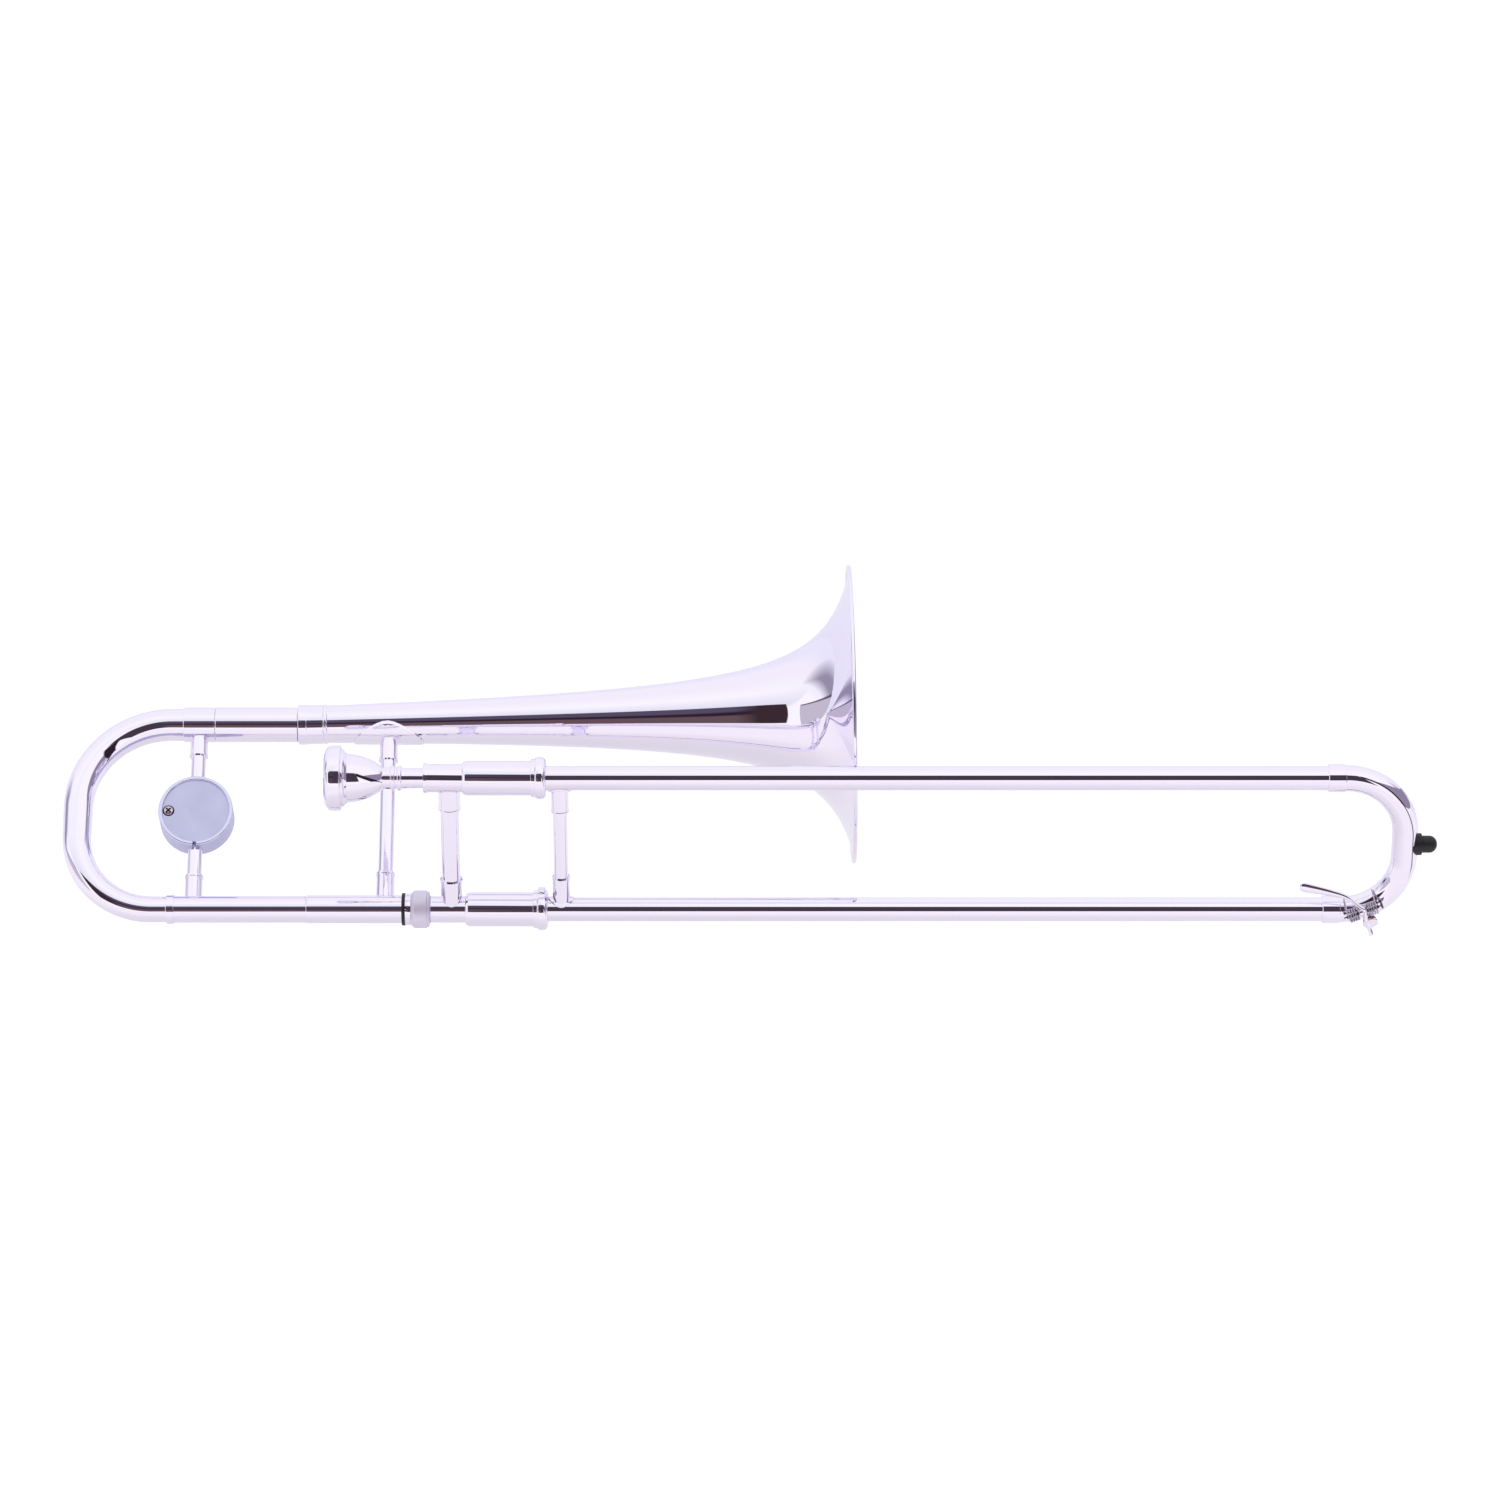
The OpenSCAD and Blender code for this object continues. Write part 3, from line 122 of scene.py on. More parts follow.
class TromboneSizes(bpy.types.PropertyGroup):
    """Sizes of the pieces that are turned, swept or bent here."""

    bell_diameter: length("Bell", "Diameter over the bell's rim", extent("bell", 1), 150, 200)
    bell_length: length("Bell length", "From the bell's throat to its rim", 322.6, 280, 340)
    flare_past: length("Flare past rim", "From the rim to where the flare would be endless",
                       12.8, 11, 15)
    flare_power: FloatProperty(name="Flare power", description="Exponent of the bell's flare",
                               default=0.64, min=0.6, max=0.68)
    bell_lean: FloatProperty(name="Bell lean", description="Angle of the bell's axis to the tuning leg",
                             default=math.radians(1.19), min=0, max=0.03, subtype="ANGLE",
                             unit="ROTATION")
    bell_wall: length("Bell wall", "Thickness of the bell's sheet", 0.6, 0.5, 0.8)
    rim_bead: length("Rolled rim", "Diameter of the rolled rim's section", 2.6, 2, 3.2)
    low_bend: length("Lower bend", "Radius of the tuning bow's lower bend", 46, 42, 50)
    high_bend: length("Upper bend", "Radius of the tuning bow's upper bend", 54, 50, 57)
    slide_bend: length("Slide bow", "Radius of the slide bow's two bends", 36, 32, 38)
    mouth_rim: length("Mouthpiece rim", "Diameter over the mouthpiece's rim",
                      extent("mouthpiece", 1), 36, 40)
    cup_width: length("Cup", "Diameter of the cup at its rim", 24.8, 23.5, 26)
    cup_depth: length("Cup depth", "Depth of the cup", 23, 19, 25)
    nut_width: length("Lock nut", "Outer diameter of the lock nut", extent("lock_nut", 1), 21, 25)
    bumper_width: length("Bumper", "Diameter of the rubber bumper's flange",
                         extent("end_bumper", 1), 11, 14)
    wire: length("Spring wire", "Diameter of the water key's spring wire", 0.9, 0.7, 0.9)
    coil_width: length("Spring coil", "Outer diameter of the water key's coils", 8, 7.4, 8)
    turn_steps: IntProperty(name="Steps per turn", description="Steps of each turned piece",
                            default=160, min=48, max=256)


class TromboneColours(bpy.types.PropertyGroup):
    """Colours of the trombone's finishes."""

    silver: colour("Silver plate", "Polished plate, a little lilac in this light", "#F6F1FF")
    satin: colour("Satin silver", "Bead-blasted plate of the counterweight", "#CDCDEC")
    # The lip's colour is painted lighter than the satin plate as its highlight; its lower roughness is
    # the burnish
    lip: colour("Lip silver", "Burnished plate of the counterweight's lip, painted lighter as its highlight", "#DDDDF8")
    nut: colour("Nut silver", "Fine-turned plate of the lock nut", "#F0EAFA")
    rubber: colour("Rubber", "Moulded black rubber", "#15131A")
    cork: colour("Cork", "Pressed cork", "#B5795C")
    cork_grain: colour("Cork grain", "Dark specks of the cork", "#5F3626")
    spring: colour("Spring steel", "Drawn steel wire", "#BDB5C6")
    rod: colour("Blackened steel", "Steel of the water key's rod", "#5E5868")
    # Near-black colour painted as the shade in the cover screw's sunk cross and round its seat
    recess: colour("Darkened steel", "Painted shade in the cover screw's cross and round its seat", "#2A2230")
    screw: colour("Screw", "Zinc-plated steel of the cover's screw", "#D6C8D2")
    lead: colour("Lead", "Cast lead of the weight's core", "#6E7078")


class TromboneStudio(bpy.types.PropertyGroup):
    """The white studio: its floor, light and camera."""

    floor_drop: FloatProperty(name="Floor", description="Height of the floor", default=-0.45, max=-0.2,
                              min=-1, unit="LENGTH")
    floor_size: FloatProperty(name="Floor size", description="Half width of the floor", default=20,
                              min=5, max=50, unit="LENGTH")
    paper: colour("Paper", "White paper of the floor", "#EBEAEC")
    paper_front: colour("Paper in front", "Light of the paper before the trombone", "#FFF8F5")
    paper_back: colour("Paper behind", "Light of the paper behind the trombone", "#CACEEE")
    box_light: FloatProperty(name="Box light", description="Brightness of the soft boxes", default=1.03,
                             min=0.5, max=2)
    back: colour("Back", "Soft box behind the trombone", "#FBFAFC")
    low: colour("Low back", "Foot of that soft box", "#F1F1FB")
    above: colour("Above", "Foot of the soft box over the camera, to its side", "#ECEEF3")
    wall: colour("Walls", "Dim walls far to the left and right", "#9A95A8")
    gap: colour("Gap", "Dark room behind the camera, straight ahead of the trombone", "#453A46")
    gap_top: colour("Gap's upper part", "Dim wall behind the camera, to its side", "#564F62")
    gap_foot: colour("Gap's lower part", "Dim floor behind the camera, to its side", "#685256")
    gap_line: colour("Gap's middle", "Shadow where that wall meets that floor", "#2E2030")
    gap_side: colour("Gap's ends", "Dark ends of the gap", "#3C2C32")
    side: colour("Side", "Dim wall beyond the soft boxes on the right", "#93899F")
    end: colour("End", "Dim wall beyond the soft boxes on the left", "#C8C3CE")
    lens: FloatProperty(name="Lens", description="Focal length in millimetres", default=151,
                        min=50, max=300)
    camera_place: FloatVectorProperty(name="Camera", description="Where the camera stands",
                                      default=(0.1752, -3.2229, 1.77595), size=3, subtype="TRANSLATION")
    camera_target: FloatVectorProperty(name="Target", description="What the camera looks at",
                                       default=(0.1752, 0.0440, 0.03895), size=3, subtype="TRANSLATION")


def size(name):
    """A size of the scene's settings, in millimetres."""
    return getattr(bpy.context.scene.trombone_sizes, name) / MM


def tint(name):
    """A colour of the scene's settings."""
    return tuple(getattr(bpy.context.scene.trombone_colours, name))


def add_node(tree, kind, inputs=None, **settings):
    """Adds a node with its settings. An input is linked to a socket or takes a plain value."""
    node = tree.nodes.new(kind)
    for name, value in settings.items():
        setattr(node, name, value)
    for name, value in (inputs or {}).items():
        if isinstance(value, bpy.types.NodeSocket):
            tree.links.new(value, node.inputs[name])
        else:
            node.inputs[name].default_value = value
    return node


def new_tree(block):
    """Empties a material's or world's node tree."""
    block.use_nodes = True
    block.node_tree.nodes.clear()
    return block.node_tree


def surface(name, metallic, roughness, base=None):
    """A material with one Principled shader: its tree, the shader and the object's coordinates."""
    material = bpy.data.materials.new(name)
    tree = new_tree(material)
    shader = add_node(tree, "ShaderNodeBsdfPrincipled", {"Metallic": metallic, "Roughness": roughness})
    if base:
        shader.inputs["Base Color"].default_value = base
    add_node(tree, "ShaderNodeOutputMaterial", {"Surface": shader.outputs["BSDF"]})
    place = add_node(tree, "ShaderNodeTexCoord").outputs["Object"]
    return material, tree, shader, place


def per_metre(millimetres):
    """The scale of a noise whose features are about this far apart."""
    return 1 / (millimetres * MM)


def fine_relief(tree, shader, place, apart, detail, strength, depth):
    """Gives a finish its fine relief, with bumps so far apart and deep in millimetres. The height of
    the relief is returned, so that the gloss can follow it."""
    height = add_node(tree, "ShaderNodeTexNoise",
                      {"Vector": place, "Scale": per_metre(apart), "Detail": detail}).outputs["Fac"]
    bump = add_node(tree, "ShaderNodeBump", {"Height": height, "Strength": strength,
                                             "Distance": depth * MM})
    tree.links.new(bump.outputs["Normal"], shader.inputs["Normal"])
    return height


def silver_plate():
    """Polished silver plate: a clear mirror, with faint handling haze and hairlines of the buffing."""
    material, tree, shader, place = surface("polished silver plate", 1, 0.03, tint("silver"))
    fine_relief(tree, shader, place, apart=1.4, detail=2, strength=0.02, depth=0.02)
    haze = add_node(tree, "ShaderNodeTexNoise", {"Vector": place, "Scale": per_metre(28), "Detail": 3})
    soft = add_node(tree, "ShaderNodeMapRange", {"Value": haze.outputs["Fac"], "From Min": 0.35,
                                                 "From Max": 0.7, "To Min": 0.02, "To Max": 0.055})
    tree.links.new(soft.outputs["Result"], shader.inputs["Roughness"])
    return material


def satin_silver(name, shade, roughness):
    """Bead-blasted silver plate: an even, soft sheen with a fine grain. Burnishing closes its sheen; the
    burnished lip also gets a lighter colour, a painted highlight.
    """
    material, tree, shader, place = surface(name, 1, roughness, tint(shade))
    fine_relief(tree, shader, place, apart=0.5, detail=3, strength=0.25, depth=0.05)
    cloud = add_node(tree, "ShaderNodeTexNoise", {"Vector": place, "Scale": per_metre(12), "Detail": 2})
    soft = add_node(tree, "ShaderNodeMapRange", {"Value": cloud.outputs["Fac"], "From Min": 0.3,
                                                 "From Max": 0.7, "To Min": roughness - 0.05,
                                                 "To Max": roughness + 0.05})
    tree.links.new(soft.outputs["Result"], shader.inputs["Roughness"])
    return material


def turned_silver():
    """Fine-turned silver plate of the nut: tool marks run round it and stretch its highlights.
    The marks are drawn 0.35 mm apart, coarser than real ones, so that they show."""
    material, tree, shader, place = surface("fine-turned silver plate", 1, 0.62, tint("nut"))
    wave_length = 0.35
    waves_per_unit = 20
    marks = add_node(tree, "ShaderNodeTexWave", {"Vector": place, "Distortion": 0.6,
                                                 "Scale": per_metre(wave_length) / waves_per_unit},
                     wave_type="BANDS", bands_direction="X")
    bump = add_node(tree, "ShaderNodeBump", {"Height": marks.outputs["Fac"], "Strength": 0.2,
                                             "Distance": 0.03 * MM})
    tree.links.new(bump.outputs["Normal"], shader.inputs["Normal"])
    return material


def black_rubber():
    """Moulded black rubber: dull, with the faint orange peel of its mould."""
    material, tree, shader, place = surface("moulded black rubber", 0, 0.48, tint("rubber"))
    fine_relief(tree, shader, place, apart=0.9, detail=3, strength=0.3, depth=0.05)
    return material


def pressed_cork():
    """Pressed cork: warm brown grains a millimetre across, with dark pores between them."""
    material, tree, shader, place = surface("pressed cork", 0, 0.85)
    cells = add_node(tree, "ShaderNodeTexVoronoi", {"Vector": place, "Scale": per_metre(1.0)})
    pores = add_node(tree, "ShaderNodeTexNoise", {"Vector": place, "Scale": per_metre(0.7), "Detail": 4})
    mixed = add_node(tree, "ShaderNodeMath", {0: cells.outputs["Distance"], 1: pores.outputs["Fac"]},
                     operation="MULTIPLY")
    ramp = add_node(tree, "ShaderNodeValToRGB", {"Fac": mixed.outputs["Value"]})
    for element, shade, begins in zip(ramp.color_ramp.elements, ("cork", "cork_grain"), (0.2, 0.48)):
        element.color = tint(shade)
        element.position = begins
    bump = add_node(tree, "ShaderNodeBump", {"Height": mixed.outputs["Value"], "Strength": 0.4,
                                             "Distance": 0.1 * MM}, invert=True)
    tree.links.new(ramp.outputs["Color"], shader.inputs["Base Color"])
    tree.links.new(bump.outputs["Normal"], shader.inputs["Normal"])
    return material


def drawn_steel(name, shade, roughness):
    """Steel wire and screws: grey metal with the fine streaks that drawing and turning leave."""
    material, tree, shader, place = surface(name, 1, roughness, tint(shade))
    streaks = fine_relief(tree, shader, place, apart=0.4, detail=3, strength=0.1, depth=0.02)
    soft = add_node(tree, "ShaderNodeMapRange", {"Value": streaks, "To Min": roughness - 0.08,
                                                 "To Max": roughness + 0.08})
    tree.links.new(soft.outputs["Result"], shader.inputs["Roughness"])
    return material


def cast_lead():
    """Cast lead: a dull blue-grey metal with the clouds of its oxide."""
    material, tree, shader, place = surface("cast lead", 1, 0.6, tint("lead"))
    cloud = add_node(tree, "ShaderNodeTexNoise", {"Vector": place, "Scale": per_metre(5), "Detail": 5})
    soft = add_node(tree, "ShaderNodeMapRange", {"Value": cloud.outputs["Fac"], "To Min": 0.5,
                                                 "To Max": 0.75})
    tree.links.new(soft.outputs["Result"], shader.inputs["Roughness"])
    return material


FINISHES = {
    "silver_plate": silver_plate,
    "satin_silver": lambda: satin_silver("bead-blasted silver plate", "satin", 0.43),
    # The lip: the same plate with a lower roughness, and a lighter colour painted as its highlight
    "burnished_silver": lambda: satin_silver("burnished silver plate", "lip", 0.24),
    "turned_silver": turned_silver,
    "black_rubber": black_rubber,
    "cork": pressed_cork,
    "spring_steel": lambda: drawn_steel("drawn spring steel", "spring", 0.4),
    "dark_steel": lambda: drawn_steel("blackened steel", "rod", 0.32),
    # The screw's seat and cross: steel painted near-black as the shade of the recess
    "shaded_steel": lambda: drawn_steel("oil-darkened steel", "recess", 0.5),
    "zinc_steel": lambda: drawn_steel("zinc-plated steel", "screw", 0.26),
    "lead": cast_lead,
}
made_finishes = {}

# Nodes that aren't polished plate, and the finish that each has
NODE_FINISHES = {
    "counterweight_drum": "satin_silver",
    "counterweight_cover": "satin_silver",
    "lock_nut": "turned_silver",
    "end_bumper": "black_rubber",
    "receiver_ring": "black_rubber",
    "barrel_cork_upper": "cork",
    "barrel_cork_lower": "cork",
    "water_key_cork": "cork",
    "water_key_spring": "spring_steel",
    "water_key_rod": "dark_steel",
    "counterweight_screw": "dark_steel",
    "counterweight_slug": "lead",
}


def finish(name):
    """The material of a finish, made once."""
    if name not in made_finishes:
        made_finishes[name] = FINISHES[name]()
    return made_finishes[name]


def turn(bm, outline, place=Matrix(), steps=None, angle=math.tau):
    """Spins a closed outline of (along, radius) pairs about the place's X axis."""
    corners = [bm.verts.new(place @ Vector((along, 0, radius))) for along, radius in outline]
    edges = [bm.edges.new(pair) for pair in zip(corners, corners[1:] + corners[:1])]
    axis = place.to_3x3() @ Vector((1, 0, 0))
    steps = steps or bpy.context.scene.trombone_sizes.turn_steps
    bmesh.ops.spin(bm, geom=corners + edges, cent=place.translation, axis=axis, angle=angle,
                   steps=steps, use_merge=angle == math.tau)


def arc(centre, radius, start, end, steps):
    """Points (along, radius) of an arc about a centre, with its angles in degrees."""
    angles = [math.radians(start + (end - start) * i / steps) for i in range(steps + 1)]
    return [(centre[0] + radius * math.cos(a), centre[1] + radius * math.sin(a)) for a in angles]


def smooth_path(points, steps):
    """Points along a smooth curve through the given ones. At each point it runs as the line
    between that point's neighbours does."""
    ends = [2 * points[0] - points[1]] + points + [2 * points[-1] - points[-2]]
    path = []
    for before, start, end, after in zip(ends, ends[1:], ends[2:], ends[3:]):
        leaving = start + (end - before) / 6
        coming = end - (after - start) / 6
        path += interpolate_bezier(start, leaving, coming, end, steps + 1)[:-1]
    return path + [points[-1]]


def rounded_path(points, reach, steps):
    """The points, with each corner sharper than the least angle bent round within its reach."""
    least, share, pull = math.radians(25), 0.45, 2 / 3
    path = [points[0]]
    for before, corner, after in zip(points, points[1:], points[2:]):
        back, on = before - corner, after - corner
        if (-back).angle(on) < least:
            path.append(corner)
            continue
        start = corner + back.normalized() * min(reach, back.length * share)
        end = corner + on.normalized() * min(reach, on.length * share)
        path += interpolate_bezier(start, start.lerp(corner, pull), end.lerp(corner, pull), end, steps)
    return path + [points[-1]]


def stations(path, widths, up):
    """Matrices that place a circle at each point of a path: up is carried along it, and
    widths holds the circle's radii across and along up."""
    placed = []
    for i, point in enumerate(path):
        ahead = (path[min(i + 1, len(path) - 1)] - path[max(i - 1, 0)]).normalized()
        up = (up - ahead * up.dot(ahead)).normalized()
        across = up.cross(ahead)
        turned = Matrix((across, up, ahead)).transposed().to_4x4()
        placed.append(Matrix.Translation(point) @ turned @ Matrix.Diagonal((*widths[i], 1, 1)))
    return placed


def sweep(bm, placed, sides):
    """Extrudes a circle through the stations and closes both ends."""
    ring = bmesh.ops.create_circle(bm, segments=sides, radius=1, matrix=placed[0])["verts"]
    edges = list({edge for vert in ring for edge in vert.link_edges})
    first = edges
    for here, there in zip(placed, placed[1:]):
        made = bmesh.ops.extrude_edge_only(bm, edges=edges)["geom"]
        ring = {part for part in made if isinstance(part, bmesh.types.BMVert)}
        edges = [part for part in made
                 if isinstance(part, bmesh.types.BMEdge) and ring.issuperset(part.verts)]
        bmesh.ops.transform(bm, matrix=there @ here.inverted(), verts=list(ring))
    bmesh.ops.edgeloop_fill(bm, edges=first)
    bmesh.ops.edgeloop_fill(bm, edges=edges)


def add_piece(bm, name, place, look, body, replaced, sharp=32):
    """Makes a piece of a bmesh in millimetres: merged, turned outwards, smooth, and on its body."""
    bmesh.ops.remove_doubles(bm, verts=bm.verts, dist=MERGE)
    bmesh.ops.recalc_face_normals(bm, faces=bm.faces)
    bmesh.ops.transform(bm, matrix=Matrix.Scale(MM, 4) @ place, verts=bm.verts)
    mesh = bpy.data.meshes.new(name)
    bm.to_mesh(mesh)
    bm.free()
    return dress(mesh, name, look, body, replaced, sharp)


def dress(mesh, name, look, body, replaced, sharp):
    """Shades a mesh smooth but for its sharp edges, finishes it, and puts it on its body if it has one."""
    mesh.shade_smooth()
    mesh.set_sharp_from_angle(angle=math.radians(sharp))
    mesh.materials.append(finish(look))
    piece = bpy.data.objects.new(name, mesh)
    bpy.context.scene.collection.objects.link(piece)
    even = piece.modifiers.new("Even normals", "WEIGHTED_NORMAL")
    even.keep_sharp = True
    if body:
        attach(piece, body)
    if replaced:
        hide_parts(*replaced)
    return piece


def smooth_copy(node, name, look, body):
    """A copy of a CAD node with its doubles merged, so that its small steps shade as one curve."""
    same, sharp = 0.001 * MM, 40
    bm = bmesh.new()
    bm.from_mesh(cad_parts[node].data)
    bmesh.ops.remove_doubles(bm, verts=bm.verts, dist=same)
    mesh = bpy.data.meshes.new(name)
    bm.to_mesh(mesh)
    bm.free()
    return dress(mesh, name, look, body, [node], sharp)


def rim_at():
    """Distance along the bell's axis to the end of the flare's curve."""
    return BELL_START + size("bell_length")


def flare_radius(along):
    """The flare is a power curve that would be endless a little past the rim."""
    past = size("flare_past")
    power = bpy.context.scene.trombone_sizes.flare_power
    return size("bell_diameter") / 2 * (past / (rim_at() + past - along)) ** power


def bell_line():
    """The bell's axis, which leans a little from the tuning leg. X runs towards the rim."""
    lean = bpy.context.scene.trombone_sizes.bell_lean
    return BELL_PLANE @ Matrix.Translation((BELL_START_X, 0, LEG_GAP)) @ Matrix.Rotation(-lean, 4, "Y")


def bell_outline():
    """Outside of the flare, the rolled rim's bead, and the inside of the flare back to the throat."""
    steps, closing_up = 90, 2.2
    rim = size("bell_diameter") / 2
    wall = size("bell_wall")
    bead, bead_steps, bead_room = size("rim_bead") / 2, 24, 1.05
    near = 0.05

    def skin(i):
        """The flare's outer and inner points at a step; the steps close up towards the rim."""
        along = BELL_START + size("bell_length") * (1 - (1 - i / steps) ** closing_up)
        radius = flare_radius(along)
        slope = math.atan((flare_radius(along + near) - flare_radius(along - near)) / (2 * near))
        return (along, radius), (along + wall * math.sin(slope), radius - wall * math.cos(slope))

    pairs = [skin(i) for i in range(steps)]
    pairs = [pair for pair in pairs if pair[1][1] < rim - bead]
    centre = (pairs[-1][1][0] - bead, rim - bead)
    outside = [outer for outer, inner in pairs if math.dist(outer, centre) > bead * bead_room]
    start = math.degrees(math.atan2(outside[-1][1] - centre[1], outside[-1][0] - centre[0])) % 360
    inside = [inner for outer, inner in reversed(pairs)]
    return outside + arc(centre, bead, start, 0, bead_steps) + inside


def collar_outline():
    """The collar at the bell's throat: a wide band, a hollow, and a round bead at its front."""
    end = 18
    bore = flare_radius(end) + FIT
    foot = bore - 1
    radius = flare_radius(end) + 0.67
    hollow = radius - 0.25
    edge, bead = 0.7, 1.3
    return ([(0.25, foot)] + arc((0.25 + edge, radius - edge), edge, 180, 90, 6)
            + [(5, radius), (5.3, radius - 0.06), (5.6, hollow), (end - 3, hollow),
               (end - 2.8, radius - 0.1)] + arc((end - 1.35, radius - 1.25), bead, 150, 12, 10)
            + [(end - 0.05, bore), (BELL_START, flare_radius(BELL_START) + FIT), (BELL_START, foot)])


class TROMBONE_OT_bell(bpy.types.Operator):
    """Turns the bell's flare with its rolled rim, and the collar at its throat"""

    bl_idname = "trombone.bell"
    bl_label = "Bell"

    def execute(self, context):
        for outline, steps, name, node in ((bell_outline(), 192, "bell_flare", "bell"),
                                           (collar_outline(), None, "bell_collar", "bell_ferrule")):
            bm = bmesh.new()
            turn(bm, outline, steps=steps)
            add_piece(bm, name, bell_line(), "silver_plate", "bell_section", [node])
        return {"FINISHED"}


# Outer diameters of the tuning bow's ends, and its straight length outside the upper ferrule
LOW_END = 15.3
HIGH_END = 19.6
HIGH_STRAIGHT = 6.9


def tuning_path():
    """The bow's middle line in the bell's plane: out from the lower leg, round a quarter turn, a
    short straight side, a wider quarter turn, and back along the upper leg."""
    low, high = size("low_bend"), size("high_bend")
    start_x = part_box("tuning_sleeve_lower")[0].x / MM
    end_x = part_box("tuning_inner_leg")[0].x / MM
    high_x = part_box("tuning_ferrule_upper")[0].x / MM - HIGH_STRAIGHT
    turn_x = high_x - (high - low)
    side = LEG_GAP - low - high
    steps = 40
    angles = [math.pi / 2 * i / steps for i in range(steps + 1)]
    path = [Vector((start_x, 0, 0))]
    path += [Vector((turn_x - low * math.sin(a), 0, low * (1 - math.cos(a)))) for a in angles]
    path += [Vector((turn_x - low + high * (1 - math.cos(a)), 0, low + side + high * math.sin(a)))
             for a in angles]
    return path + [Vector((end_x, 0, LEG_GAP))]


class TROMBONE_OT_tuning_bow(bpy.types.Operator):
    """Bends the tapered tuning bow through its two quarter turns"""

    bl_idname = "trombone.tuning_bow"
    bl_label = "Tuning bow"

    def execute(self, context):
        path = tuning_path()
        run = [0]
        for here, there in zip(path, path[1:]):
            run.append(run[-1] + (there - here).length)
        radii = [(LOW_END + (HIGH_END - LOW_END) * done / run[-1]) / 2 for done in run]
        bm = bmesh.new()
        sweep(bm, stations(path, [(radius, radius) for radius in radii], Vector((0, 1, 0))), 96)
        add_piece(bm, "tuning_bow_tube", BELL_PLANE, "silver_plate", "tuning_slide",
                  ["tuning_bow"])
        return {"FINISHED"}


def mouthpiece_outline():
    """Rim, stepped collar, body, two beads, shank and bore, from the face on."""
    rim = size("mouth_rim") / 2
    cup, cup_start, depth = size("cup_width") / 2, 1.4, size("cup_depth")
    receiver = (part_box("mouthpiece_receiver")[0].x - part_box("mouthpiece")[0].x) / MM
    tip = extent("mouthpiece", 0)
    neck, body, throat, shank = 6.2, rim - 4.9, 3.15, 6.05
    body_start, body_end, body_fullness = 13.4, 34, 0.8
    beads, bead_radius = (receiver - 17.6, receiver - 13.8), 1.5
    bowl_depth, bowl_fullness = 2.1, 0.75
    steps = 28
    face = [(cup_start, cup), (0.9, cup + 0.3), (0.25, cup + 1.1), (0, cup + 2.4), (0.4, rim - 3.4),
            (1.1, rim - 1.9), (2.2, rim - 0.7), (3.8, rim), (4.4, rim)]
    outline = [point[:2] for point in smooth_path([Vector((*pair, 0)) for pair in face], 4)]
    outline += [(9, rim), (9.5, rim - 0.2), (9.8, rim - 0.6), (9.9, rim - 1.6), (10.1, rim - 2.2),
                (10.8, rim - 2.3), (11.3, rim - 2.6), (11.6, rim - 3.1), (12.4, rim - 4),
                (13.2, body + 0.3)]
    for i in range(steps + 1):
        along = body_start + (body_end - body_start) * i / steps
        swell = max(math.cos(math.pi / 2 * i / steps), 0) ** body_fullness
        outline.append((along, neck + (body - neck) * swell))
    for bead in beads:
        outline += arc((bead, neck - 0.3), bead_radius, 165, 15, 10)
    outline += [(receiver - 11.8, neck), (receiver - 10.5, shank), (tip - 0.2, shank - 0.5),
                (tip, shank - 0.7), (tip, shank - 1.2), (depth + 9, throat), (depth + 3, throat)]
    for i in range(steps, -1, -1):
        part = i / steps
        bowl = (1 - part ** bowl_depth) ** bowl_fullness
        outline.append((cup_start + (depth + 0.6) * part, throat + (cup - throat) * bowl))
    return outline


class TROMBONE_OT_mouthpiece(bpy.types.Operator):
    """Turns the mouthpiece: rim, cup, beads, shank and back bore"""

    bl_idname = "trombone.mouthpiece"
    bl_label = "Mouthpiece"

    def execute(self, context):
        bm = bmesh.new()
        turn(bm, mouthpiece_outline())
        place = UPPER_LEG @ Matrix.Translation((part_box("mouthpiece")[0].x / MM, 0, 0))
        add_piece(bm, "turned_mouthpiece", place, "silver_plate", "mouthpiece",
                  ["mouthpiece"])
        return {"FINISHED"}


class TROMBONE_OT_rings(bpy.types.Operator):
    """Smooths the rings, barrels and receiver whose turned steps are too fine to show as steps"""

    bl_idname = "trombone.rings"
    bl_label = "Rings and barrels"

    def execute(self, context):
        for node, body in (("barrel_ring", "inner_slide"), ("slide_lock", "slide_lock"),
                           ("cork_barrel_upper", "inner_slide"), ("cork_barrel_lower", "inner_slide"),
                           ("mouthpiece_receiver", "inner_slide"), ("bell_receiver", "bell_section")):
            smooth_copy(node, node + "_smooth", "silver_plate", body)
        return {"FINISHED"}


# The drum's face and its cover, out from the drum's middle
DRUM_FACE = 8
DRUM_COVER = 7.35


def drum_lip(drum):
    """Turns the drum's rounded lip, which is open at a narrow slot."""
    radius = extent("counterweight_drum", 0) / 2
    half_slot, lip_width, edge = 1.15, 2.42, 0.8
    slot = math.asin(half_slot / radius)
    start = drum @ OUTWARDS @ Matrix.Rotation(slot - math.pi / 2, 4, "X")
    outer = radius + 0.04
    inner = outer - lip_width
    foot, crest = DRUM_COVER - 0.35, DRUM_FACE + 0.15 - edge
    bm = bmesh.new()
    turn(bm, [(foot, inner), (foot, outer)] + arc((crest, outer - edge), edge, 90, 0, 8)
         + arc((crest, inner + edge), edge, 0, -90, 8), start, angle=math.tau - 2 * slot)
    bmesh.ops.holes_fill(bm, edges=bm.edges)
    # The lip's finish has a lighter colour painted as its highlight
    add_piece(bm, "drum_lip", Matrix(), "burnished_silver", "tuning_slide", [],
              sharp=60)


